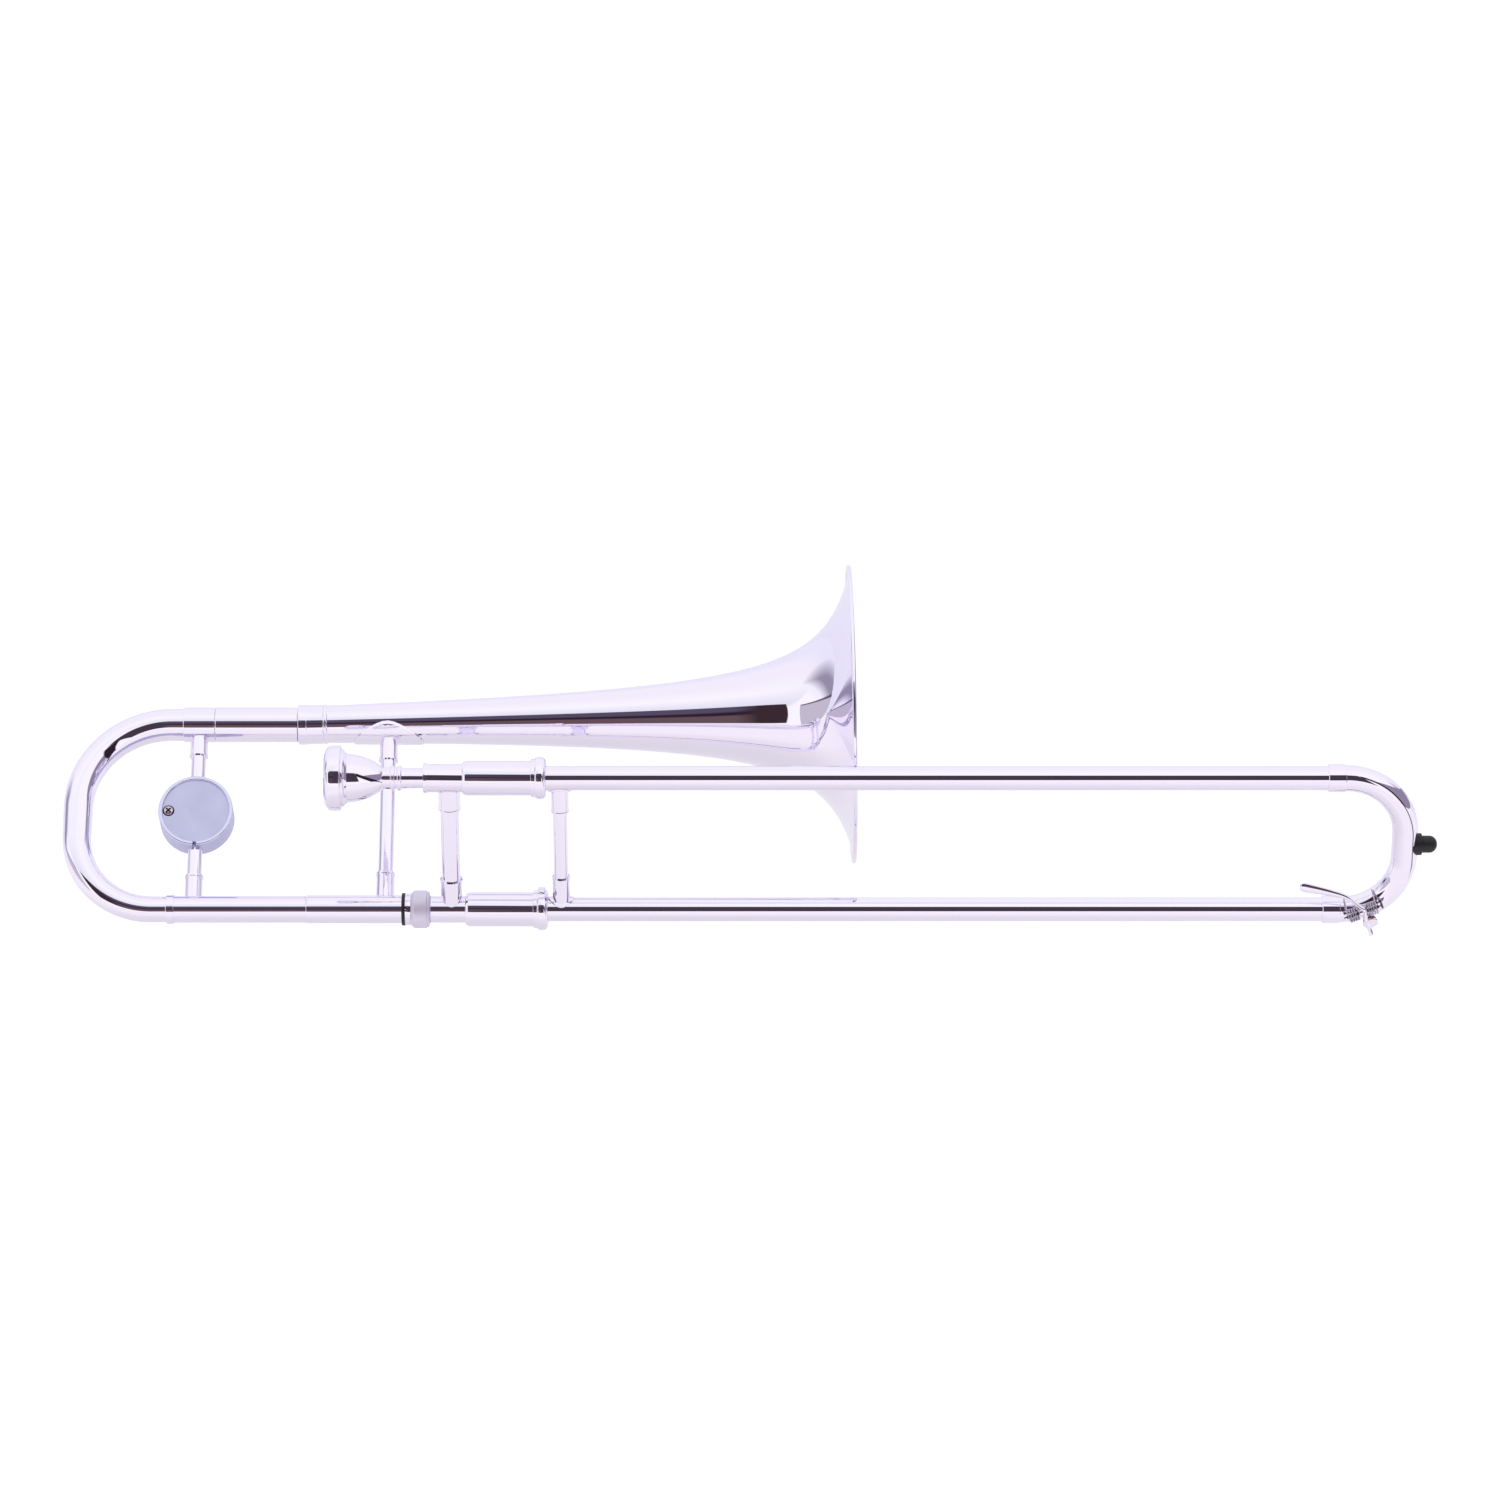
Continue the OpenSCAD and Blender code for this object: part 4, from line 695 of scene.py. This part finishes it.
def screw_seat(place):
    """Turns the thin ring round the screw, coloured near-black as painted shade where the head meets the
    cover.
    """
    inner, outer = 2.8, 3.5
    foot, top = DRUM_COVER - 0.1, DRUM_COVER + 0.06
    bm = bmesh.new()
    turn(bm, [(foot, inner), (top - 0.03, inner), (top, inner + 0.3), (top, outer - 0.15),
              (foot, outer)], place, 64)
    add_piece(bm, "screw_seat", Matrix(), "shaded_steel", "tuning_slide", [])


def cover_screw(place):
    """Turns the screw's domed head, cuts its crown along the cross and sinks that part of it. The sunk
    cross's walls and floor are coloured near-black as painted shade.
    """
    head, crown, steps = 2.78, 0.95, 12
    foot, brim = DRUM_COVER - 0.2, DRUM_COVER + 0.2
    reach, half_slot, sink = 2.0, 0.5, 0.75
    dome = [math.pi / 2 * i / steps for i in range(steps + 1)]
    bm = bmesh.new()
    turn(bm, [(foot, 0), (foot, head)]
         + [(brim + crown * math.sin(a), head * math.cos(a)) for a in dome], steps=64)
    bmesh.ops.remove_doubles(bm, verts=bm.verts, dist=MERGE)
    arms = [Vector((0, math.cos(a), math.sin(a))) for a in (math.radians(45), math.radians(135))]
    for way in arms:
        for distance in (-reach, -half_slot, half_slot, reach):
            bmesh.ops.bisect_plane(bm, geom=bm.verts[:] + bm.edges[:] + bm.faces[:],
                                   plane_co=way * distance, plane_no=way)
    cross = []
    for side in bm.faces:
        centre = side.calc_center_median()
        near, far = sorted(abs(centre.dot(way)) for way in arms)
        if near < half_slot and far < reach and centre.x > brim:
            cross.append(side)
    moved = bmesh.ops.extrude_face_region(bm, geom=cross)["geom"]
    low = [part for part in moved if isinstance(part, bmesh.types.BMVert)]
    bmesh.ops.translate(bm, verts=low, vec=(-sink, 0, 0))
    # The sunk cross takes the second material: near-black painted shade of the recess
    for side in {side for vert in low for side in vert.link_faces}:
        side.material_index = 1
    bmesh.ops.delete(bm, geom=cross, context="FACES")
    screw = add_piece(bm, "cover_screw", place, "zinc_steel", "tuning_slide",
                      ["counterweight_screw"], sharp=50)
    screw.data.materials.append(finish("shaded_steel"))


class TROMBONE_OT_counterweight(bpy.types.Operator):
    """Rounds the drum's lip, and turns the cover's cross-headed screw in a seat ring coloured near-black
    as painted shade
    """

    bl_idname = "trombone.counterweight"
    bl_label = "Counterweight"

    def execute(self, context):
        centre = middle("counterweight_drum")
        across = middle("counterweight_screw").x - centre.x
        drum = Matrix.Translation(centre) @ Matrix.Rotation(-BELL_ANGLE, 4, "X")
        screw = drum @ Matrix.Translation((across, 0, 0)) @ OUTWARDS
        drum_lip(drum)
        screw_seat(screw)
        cover_screw(screw)
        return {"FINISHED"}


class TROMBONE_OT_lock_nut(bpy.types.Operator):
    """Turns the satin lock nut with its chamfers and grooves"""

    bl_idname = "trombone.lock_nut"
    bl_label = "Lock nut"

    def execute(self, context):
        radius = size("nut_width") / 2
        low, high = (corner.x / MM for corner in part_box("lock_nut"))
        thread, neck, back = 9.05, 7.35, high - 1.95
        edge, lip = 0.5, 0.45
        bm = bmesh.new()
        turn(bm, [(low, thread), (low, radius - 2.1), (low + 0.2, radius - 1.8),
                  (low + 1.7, radius - 0.2)]
             + arc((low + 2.3, radius - edge), edge, 120, 90, 3)
             + arc((high - 2.2, radius - edge), edge, 90, 45, 3)
             + [(high - 1.5, radius - 0.75), (high - 1.3, radius - 0.7)]
             + arc((high - 2 * lip, radius - 1.0), lip, 110, 0, 5)
             + [(high - 0.3, radius - 1.9), (high, radius - 2.2), (high, neck), (back, neck),
                (back, thread)])
        add_piece(bm, "turned_nut", LOWER_LEG, "turned_silver", "lock_nut",
                  ["lock_nut"])
        return {"FINISHED"}


class TROMBONE_OT_bumper(bpy.types.Operator):
    """Turns the rubber bumper and seats its flange on the slide bow"""

    bl_idname = "trombone.bumper"
    bl_label = "Bumper"

    def execute(self, context):
        base, top = (corner.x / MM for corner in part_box("end_bumper"))
        bow_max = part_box("slide_bow")[1].x / MM
        flange, edge = size("bumper_width") / 2, 0.6
        lip, corner = bow_max + 2.2, 0.5
        dome, flatness, steps = flange - 1.45, 0.9, 20
        angles = [math.pi / 2 * i / steps for i in range(steps + 1)]
        bm = bmesh.new()
        turn(bm, [(base, 0), (base, flange)] + arc((lip - edge, flange - edge), edge, 90, 0, 5)
             + arc((lip + corner, dome + corner), corner, 180, 270, 4)
             + [(top - dome * flatness * (1 - math.sin(a)), dome * math.cos(a)) for a in angles],
             steps=96)
        for vert in bm.verts:
            if vert.co.x < base + MERGE:
                fall = BOW_RADIUS - math.sqrt(BOW_RADIUS ** 2 - vert.co.y ** 2)
                vert.co.x = bow_max - fall + FIT
        add_piece(bm, "rubber_bumper", Matrix(), "black_rubber", "outer_slide",
                  ["end_bumper"])
        return {"FINISHED"}


# The water key stands on the lower bend of the slide bow, and out from it
KEY_AT = math.radians(22)
ROD_TILT, PAD_TILT, FACE_TILT = (math.radians(angle) for angle in (13, -29, 28))
ROD_REACH = 12.9
NIPPLE_REACH = 10.6
CORK_WIDTH, CORK_THICK = 7.8, 2.4
# The cup's floor behind the cork, out from the bow's centre line, its thickness and its lip
CUP_FLOOR = NIPPLE_REACH + 0.05 + CORK_THICK + FIT
CUP_BACK = 1
CUP_LIP = 0.5
# How far along the bow the cup stands from the middle of the hinge
CUP_ALONG = 1.5
HINGE_RADIUS, HINGE_HALF, HINGE_EDGE = 2.1, 2.2, 0.2
ROD_RADIUS = 0.95
BAR_RADIUS = 1.15
COIL_PITCH = 1.45


def key_frame(tilt):
    """A place on the slide bow's centre line: X along the bow, and -Y out through the key."""
    bend = size("slide_bend")
    bend_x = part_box("slide_bow")[1].x / MM - BOW_RADIUS - bend
    foot = (bend_x + bend * math.sin(KEY_AT), 0, bend * (1 - math.cos(KEY_AT)))
    return (LOWER_LEG @ Matrix.Translation(foot) @ Matrix.Rotation(-KEY_AT, 4, "Y")
            @ Matrix.Rotation(-tilt, 4, "X"))


def spring_path():
    """One wire: a leg on the bow, a coil, a loop under the lever, a coil, and a leg."""
    wire = size("wire")
    coil = (size("coil_width") - wire) / 2
    inside, turns = HINGE_HALF + 0.75, 4
    leg, leg_angle = BOW_RADIUS + wire / 2 + 0.65, math.radians(60)
    # The legs lie out along the bow, which has bent in by this much there
    rise = (inside + turns * COIL_PITCH) ** 2 / (2 * size("slide_bend"))
    foot = (ROD_REACH - leg * math.cos(leg_angle), leg * math.sin(leg_angle) + rise)
    # The angles at which the wire comes to the coil and leaves it for the loop
    first = math.atan2(foot[1], foot[0]) + math.acos(coil / math.hypot(*foot))
    last = math.radians(1540)
    steps = 110
    half = []
    for i in range(steps + 1):
        angle = first + (last - first) * i / steps
        half.append(Vector((-inside - COIL_PITCH * (last - angle) / math.tau,
                            coil * math.cos(angle), coil * math.sin(angle))))
    half.insert(0, Vector((half[0].x, *foot)))
    loop, loop_reach, loop_half = math.radians(138), coil + 0.6, inside - 0.7
    half.append(Vector((-loop_half, loop_reach * math.cos(loop), loop_reach * math.sin(loop))))
    path = half + [Vector((-point.x, point.y, point.z)) for point in reversed(half)]
    return rounded_path(path, 0.9, 6)


def bar_place():
    """The lever's points are along X, up across the key's face, and out from the bow's centre line."""
    foot = key_frame(0).translation
    across = Vector((0, math.sin(FACE_TILT), math.cos(FACE_TILT)))
    out = Vector((0, -math.cos(FACE_TILT), math.sin(FACE_TILT)))
    turned = Matrix((Vector((1, 0, 0)), across, out)).transposed().to_4x4()
    return Matrix.Translation(foot) @ turned


def lever_path():
    """Points of the lever's bar with its half width and half thickness there: the flat paddle, the
    bend over the spring and the hinge, the cup, and the tail past it."""
    out = ROD_REACH * math.cos(FACE_TILT - ROD_TILT) + HINGE_RADIUS + 0.5
    up = -ROD_REACH * math.sin(FACE_TILT - ROD_TILT)
    over_cup = CUP_FLOOR + CUP_BACK + BAR_RADIUS * 0.7
    over_coil = ROD_REACH + size("coil_width") / 2 + BAR_RADIUS + 0.3
    fall = FACE_TILT - PAD_TILT
    paddle = [((-35.2, 10.8, 9), 2.9, 1.04), ((-21.8, 8.2, 11.4), 2.2, 1.1),
              ((-10.8, 5.2, out - 0.6), 1.5, 1.12)]
    bend = [((-4.5, up + 3.7, over_coil - 0.7), BAR_RADIUS, BAR_RADIUS),
            ((-1, up + 1, over_coil + 0.1), BAR_RADIUS, BAR_RADIUS),
            ((0, up + 0.2, out), BAR_RADIUS, BAR_RADIUS),
            ((0.8, up - 5.9, out - 2.6), BAR_RADIUS, BAR_RADIUS)]
    tail = [((2.6, -over_cup * math.sin(fall), over_cup * math.cos(fall)), 1.25, 1.2),
            ((4.3, -16.5, 7), 1.4, 1.12)]
    return [(Vector(point), wide, thick) for point, wide, thick in paddle + bend + tail]


def lever_stations():
    """The lever's cross-sections along a smooth path, with both of its ends half round."""
    steps = 6
    rounding = [math.radians(angle) for angle in (25, 45, 62, 76, 86)]
    paddle_out = Vector((0, -0.27, 1))
    points = lever_path()
    path = smooth_path([point for point, wide, thick in points], steps)
    widths = []
    for i in range(len(path)):
        part, share = divmod(i, steps)
        here, there = points[part], points[min(part + 1, len(points) - 1)]
        widths.append([here[k] + (there[k] - here[k]) * share / steps for k in (1, 2)])
    for start, inwards in ((0, 1), (-1, -1)):
        end, beyond = path[start], (path[start] - path[start + inwards]).normalized()
        wide, thick = widths[start]
        for angle in rounding:
            at = 0 if inwards > 0 else len(path)
            path.insert(at, end + beyond * wide * math.sin(angle))
            widths.insert(at, (wide * math.cos(angle), thick * math.cos(angle)))
    return [bar_place() @ station for station in stations(path, widths, paddle_out)]


class TROMBONE_OT_water_key(bpy.types.Operator):
    """Forges the water key's lever with its cup, and winds its spring"""

    bl_idname = "trombone.water_key"
    bl_label = "Water key"

    def execute(self, context):
        rod_line = key_frame(ROD_TILT) @ Matrix.Translation((0, -ROD_REACH, 0))
        path = spring_path()
        wire = size("wire") / 2
        bm = bmesh.new()
        sweep(bm, stations(path, [(wire, wire)] * len(path), Vector((0, 1, 0.2))), 12)
        spring = add_piece(bm, "key_spring", rod_line, "spring_steel", None,
                           ["water_key_spring"])
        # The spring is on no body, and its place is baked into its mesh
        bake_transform(spring)

        bm = bmesh.new()
        sweep(bm, lever_stations(), 24)
        shoulder, neck = HINGE_HALF - HINGE_EDGE, HINGE_RADIUS - HINGE_EDGE
        turn(bm, [(-HINGE_HALF, ROD_RADIUS), (-HINGE_HALF, neck), (-shoulder, HINGE_RADIUS),
                  (shoulder, HINGE_RADIUS), (HINGE_HALF, neck), (HINGE_HALF, ROD_RADIUS)],
             rod_line, 48)
        bore, cup, edge = CORK_WIDTH / 2 + FIT, CORK_WIDTH / 2 + 0.8, 0.6
        lip = CUP_FLOOR - CUP_LIP
        turn(bm, [(lip, bore), (lip, cup - 0.15), (lip + 0.15, cup)]
             + arc((CUP_FLOOR + CUP_BACK - edge, cup - edge), edge, 90, 0, 6)
             + [(CUP_FLOOR + CUP_BACK, 0), (CUP_FLOOR, 0), (CUP_FLOOR, bore)],
             key_frame(PAD_TILT) @ Matrix.Translation((CUP_ALONG, 0, 0)) @ OUTWARDS, 64)
        add_piece(bm, "key_lever", Matrix(), "silver_plate", "water_key",
                  ["water_key_lever"])
        return {"FINISHED"}


class TROMBONE_OT_finishes(bpy.types.Operator):
    """Gives every piece that stays from the frame its real finish"""

    bl_idname = "trombone.finishes"
    bl_label = "Finishes"

    def execute(self, context):
        for name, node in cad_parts.items():
            look = finish(NODE_FINISHES.get(name, "silver_plate"))
            for index in range(len(node.data.materials)):
                node.data.materials[index] = look
        return {"FINISHED"}


# The way that the frame of the upper soft box faces, on the right of the trombone
SEAM = Vector((0.518, 0.724, 0.455)).normalized()


def bounded(tree, inside, value, start, whole):
    """A region with one more bound, inside which its share rises from start to whole of a value."""
    share = add_node(tree, "ShaderNodeMapRange", {"Value": value, "From Min": start, "From Max": whole})
    return add_node(tree, "ShaderNodeMath", {0: share.outputs["Result"], 1: inside},
                    operation="MINIMUM").outputs["Value"]


def room_regions(studio):
    """The room's regions, each over the one before: the planes that bound it, and its colour. A plane
    is the way it faces, and how far past it a direction is where the region starts and is whole."""
    left, right, ahead, up, down = (-1, 0, 0), (1, 0, 0), (0, 1, 0), (0, 0, 1), (0, 0, -1)
    soft = math.radians(0.8)
    over_camera = (0, -1.35, -1)
    below_box = (0.456, -0.331, -0.826)
    end_top = (-0.165, -0.559, -0.813)
    gap_floor, gap_right, gap_left = (0, 0.17, 1), (-1, -0.5, 0), (1, -0.917, 0.571)
    back = [(ahead, -0.1, 0.4)]
    beyond = [(ahead, 0.1, 0.3)]
    above = [(left, -0.02, 0.1), (up, 0.48, 0.54), (over_camera, -0.45, -0.03)]
    side = [(SEAM, 0, soft), (below_box, 0, soft)]
    frame_line = [(SEAM, -0.11, -0.09), (-SEAM, -0.11, -0.09), (right, 0.3, 0.33)]
    end = [(left, 0.843, 0.853)]
    gap = [(gap_floor, 0, soft), (over_camera, 0, soft), (gap_left, 0, soft), (gap_right, 0, soft)]
    beside = gap + [(left, 0.02, 0.07)]
    return (
        (back, studio.back),
        (back + [(down, -0.5, -0.2)], studio.low),
        (beyond + [(right, 0.78, 0.9)], studio.wall),
        (beyond + [(left, 0.78, 0.9)], studio.wall),
        (above, studio.above),
        (side, studio.side),
        (frame_line, studio.gap_line),
        (end + [(end_top, -0.022, -0.012)], studio.gap_top),
        (end + [(end_top, 0, 0.01)], studio.end),
        (gap, studio.gap),
        (beside, studio.gap_line),
        (beside + [(up, 0.56, 0.62)], studio.gap_top),
        (beside + [(down, -0.5, -0.44)], studio.gap_foot),
        (gap + [(left, 0.38, 0.5)], studio.gap_side),
    )


def white_room(studio):
    """A world of white soft boxes. A dark gap stays open where the camera stands, the frame of the
    upper box runs on from it to the right, and dim walls show beyond. The camera sees white."""
    world = bpy.data.worlds.new("white room")
    tree = new_tree(world)
    direction = add_node(tree, "ShaderNodeTexCoord").outputs["Generated"]
    room = (studio.box_light, studio.box_light, studio.box_light, 1)
    for planes, shade in room_regions(studio):
        inside = 1
        for facing, start, whole in planes:
            way = Vector(facing).normalized()
            past = add_node(tree, "ShaderNodeVectorMath", {0: direction, 1: way},
                            operation="DOT_PRODUCT")
            inside = bounded(tree, inside, past.outputs["Value"], start, whole)
        room = add_node(tree, "ShaderNodeMix", {0: inside, 6: room, 7: tuple(shade)},
                        data_type="RGBA").outputs[2]
    seen = add_node(tree, "ShaderNodeLightPath").outputs["Is Camera Ray"]
    view = add_node(tree, "ShaderNodeMix", {0: seen, 6: room, 7: (1, 1, 1, 1)}, data_type="RGBA")
    light = add_node(tree, "ShaderNodeBackground", {"Color": view.outputs[2]})
    add_node(tree, "ShaderNodeOutputWorld", {"Surface": light.outputs["Background"]})
    bpy.context.scene.world = world


def painted_frame_foot(tree, place, mirrored):
    """Where a dark line is painted on the paper, seen only in reflections, as the foot of the upper
    box's frame: a thin line out from the end of the slide bow. Its bounds are how far a spot is off the
    line, to the right of that end, and in front of it."""
    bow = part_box("slide_bow")[1]
    past = add_node(tree, "ShaderNodeVectorMath", {0: place, 1: (bow.x, 0, 0)}, operation="SUBTRACT")
    past = add_node(tree, "ShaderNodeVectorMath", {0: past.outputs["Vector"]}, operation="NORMALIZE")
    across = add_node(tree, "ShaderNodeVectorMath", {0: past.outputs["Vector"], 1: SEAM},
                      operation="DOT_PRODUCT")
    across = add_node(tree, "ShaderNodeMath", {0: across.outputs["Value"]}, operation="ABSOLUTE")
    ahead = add_node(tree, "ShaderNodeSeparateXYZ", {0: past.outputs["Vector"]})
    line = bounded(tree, mirrored, across.outputs["Value"], 0.07, 0.05)
    line = bounded(tree, line, ahead.outputs["X"], 0.3, 0.4)
    return bounded(tree, line, ahead.outputs["Y"], -0.1, -0.2)


def paper_light(tree, place, seen, clear, studio):
    """The light that the paper adds: a little for the camera, and for the metal an amount that rises
    with the distance from the trombone in metres, warm before it and cool behind it."""
    camera_light, dimmest, brightest = 0.6, 0.09, 0.31
    far = add_node(tree, "ShaderNodeVectorMath", {0: place}, operation="LENGTH")
    rise = add_node(tree, "ShaderNodeMapRange", {"Value": far.outputs["Value"], "From Min": 0.3,
                                                 "From Max": 1.1, "To Min": dimmest,
                                                 "To Max": brightest})
    rise = add_node(tree, "ShaderNodeMath", {0: rise.outputs["Result"], 1: clear},
                    operation="MULTIPLY")
    glow = add_node(tree, "ShaderNodeMath", {0: seen, 1: camera_light, 2: rise.outputs["Value"]},
                    operation="MULTIPLY_ADD")
    spot = add_node(tree, "ShaderNodeSeparateXYZ", {0: place})
    behind = add_node(tree, "ShaderNodeMapRange", {"Value": spot.outputs["Y"], "From Min": 0.3,
                                                   "From Max": 1.2})
    tone = add_node(tree, "ShaderNodeMix", {0: behind.outputs["Result"], 6: tuple(studio.paper_front),
                                            7: tuple(studio.paper_back)}, data_type="RGBA")
    return add_node(tree, "ShaderNodeEmission", {"Color": tone.outputs[2],
                                                 "Strength": glow.outputs["Value"]})


def studio_paper(studio):
    """Matt white paper. It keeps the shadow. The camera sees it white, and the metal sees it with
    painted light added: bright before and behind the trombone and dimmer under it, partly from its real
    shadow and partly painted, with the frame's dark foot painted on it for reflections only."""
    material = bpy.data.materials.new("matt white studio paper")
    tree = new_tree(material)
    place = add_node(tree, "ShaderNodeTexCoord").outputs["Object"]
    path = add_node(tree, "ShaderNodeLightPath")
    mirrored = add_node(tree, "ShaderNodeMath", {0: path.outputs["Is Glossy Ray"],
                                                 1: path.outputs["Is Transmission Ray"]},
                        operation="MAXIMUM").outputs["Value"]
    # A dark line painted on the paper for reflections only, as the frame's foot
    line = painted_frame_foot(tree, place, mirrored)
    shade = add_node(tree, "ShaderNodeMix", {0: line, 6: tuple(studio.paper),
                                             7: tuple(studio.gap_line)}, data_type="RGBA")
    fibre = add_node(tree, "ShaderNodeTexNoise", {"Vector": place, "Scale": per_metre(2), "Detail": 3})
    bump = add_node(tree, "ShaderNodeBump", {"Height": fibre.outputs["Fac"], "Strength": 0.05,
                                             "Distance": 0.1 * MM})
    matt = add_node(tree, "ShaderNodeBsdfDiffuse", {"Color": shade.outputs[2],
                                                    "Normal": bump.outputs["Normal"]})
    clear = add_node(tree, "ShaderNodeMath", {0: mirrored, 1: line}, operation="SUBTRACT")
    lit = paper_light(tree, place, path.outputs["Is Camera Ray"], clear.outputs["Value"], studio)
    both = add_node(tree, "ShaderNodeAddShader", {0: matt.outputs["BSDF"], 1: lit.outputs["Emission"]})
    add_node(tree, "ShaderNodeOutputMaterial", {"Surface": both.outputs["Shader"]})
    return material


def paper_floor(studio):
    """A wide sheet of paper under the trombone."""
    bm = bmesh.new()
    bmesh.ops.create_grid(bm, x_segments=1, y_segments=1, size=studio.floor_size)
    bmesh.ops.translate(bm, verts=bm.verts, vec=(0, 0, studio.floor_drop))
    mesh = bpy.data.meshes.new("paper_floor")
    bm.to_mesh(mesh)
    bm.free()
    mesh.materials.append(studio_paper(studio))
    floor = bpy.data.objects.new("paper_floor", mesh)
    bpy.context.scene.collection.objects.link(floor)


def stand_camera(studio):
    """The camera, where the photograph was taken from."""
    camera = bpy.data.objects.new("camera", bpy.data.cameras.new("camera"))
    bpy.context.scene.collection.objects.link(camera)
    camera.data.lens = studio.lens
    camera.data.sensor_width = 36
    camera.data.clip_start = 0.1
    camera.data.clip_end = 60
    place, target = Vector(studio.camera_place), Vector(studio.camera_target)
    camera.location = place
    camera.rotation_euler = (target - place).to_track_quat("-Z", "Y").to_euler()
    bpy.context.scene.camera = camera


class TROMBONE_OT_studio(bpy.types.Operator):
    """Lays the paper floor, lights the white room and stands the camera"""

    bl_idname = "trombone.studio"
    bl_label = "Studio"

    def execute(self, context):
        studio = context.scene.trombone_studio
        context.scene.view_settings.view_transform = "Standard"
        white_room(studio)
        paper_floor(studio)
        stand_camera(studio)
        return {"FINISHED"}


PIECES = (
    TROMBONE_OT_bell,
    TROMBONE_OT_tuning_bow,
    TROMBONE_OT_mouthpiece,
    TROMBONE_OT_rings,
    TROMBONE_OT_counterweight,
    TROMBONE_OT_lock_nut,
    TROMBONE_OT_bumper,
    TROMBONE_OT_water_key,
    TROMBONE_OT_finishes,
    TROMBONE_OT_studio,
)
GROUPS = {
    "trombone_sizes": TromboneSizes,
    "trombone_colours": TromboneColours,
    "trombone_studio": TromboneStudio,
}


class TROMBONE_PT_panel(bpy.types.Panel):
    """Lists the trombone's pieces, and the sizes and colours that they are made from"""

    bl_idname = "TROMBONE_PT_panel"
    bl_label = "Alto trombone"
    bl_space_type = "VIEW_3D"
    bl_region_type = "UI"
    bl_category = "Trombone"

    def draw(self, context):
        for piece in PIECES:
            self.layout.operator(piece.bl_idname)
        for group_name, group in GROUPS.items():
            box = self.layout.box()
            for name in group.__annotations__:
                box.prop(getattr(context.scene, group_name), name)


def register():
    for kind in (*GROUPS.values(), *PIECES, TROMBONE_PT_panel):
        bpy.utils.register_class(kind)
    for name, group in GROUPS.items():
        setattr(bpy.types.Scene, name, PointerProperty(type=group))


def unregister():
    for name in GROUPS:
        delattr(bpy.types.Scene, name)
    for kind in reversed((*GROUPS.values(), *PIECES, TROMBONE_PT_panel)):
        bpy.utils.unregister_class(kind)


def main():
    register()
    bpy.ops.trombone.bell()
    bpy.ops.trombone.tuning_bow()
    bpy.ops.trombone.mouthpiece()
    bpy.ops.trombone.rings()
    bpy.ops.trombone.counterweight()
    bpy.ops.trombone.lock_nut()
    bpy.ops.trombone.bumper()
    bpy.ops.trombone.water_key()
    bpy.ops.trombone.finishes()
    bpy.ops.trombone.studio()


if __name__ == "__main__":
    main()
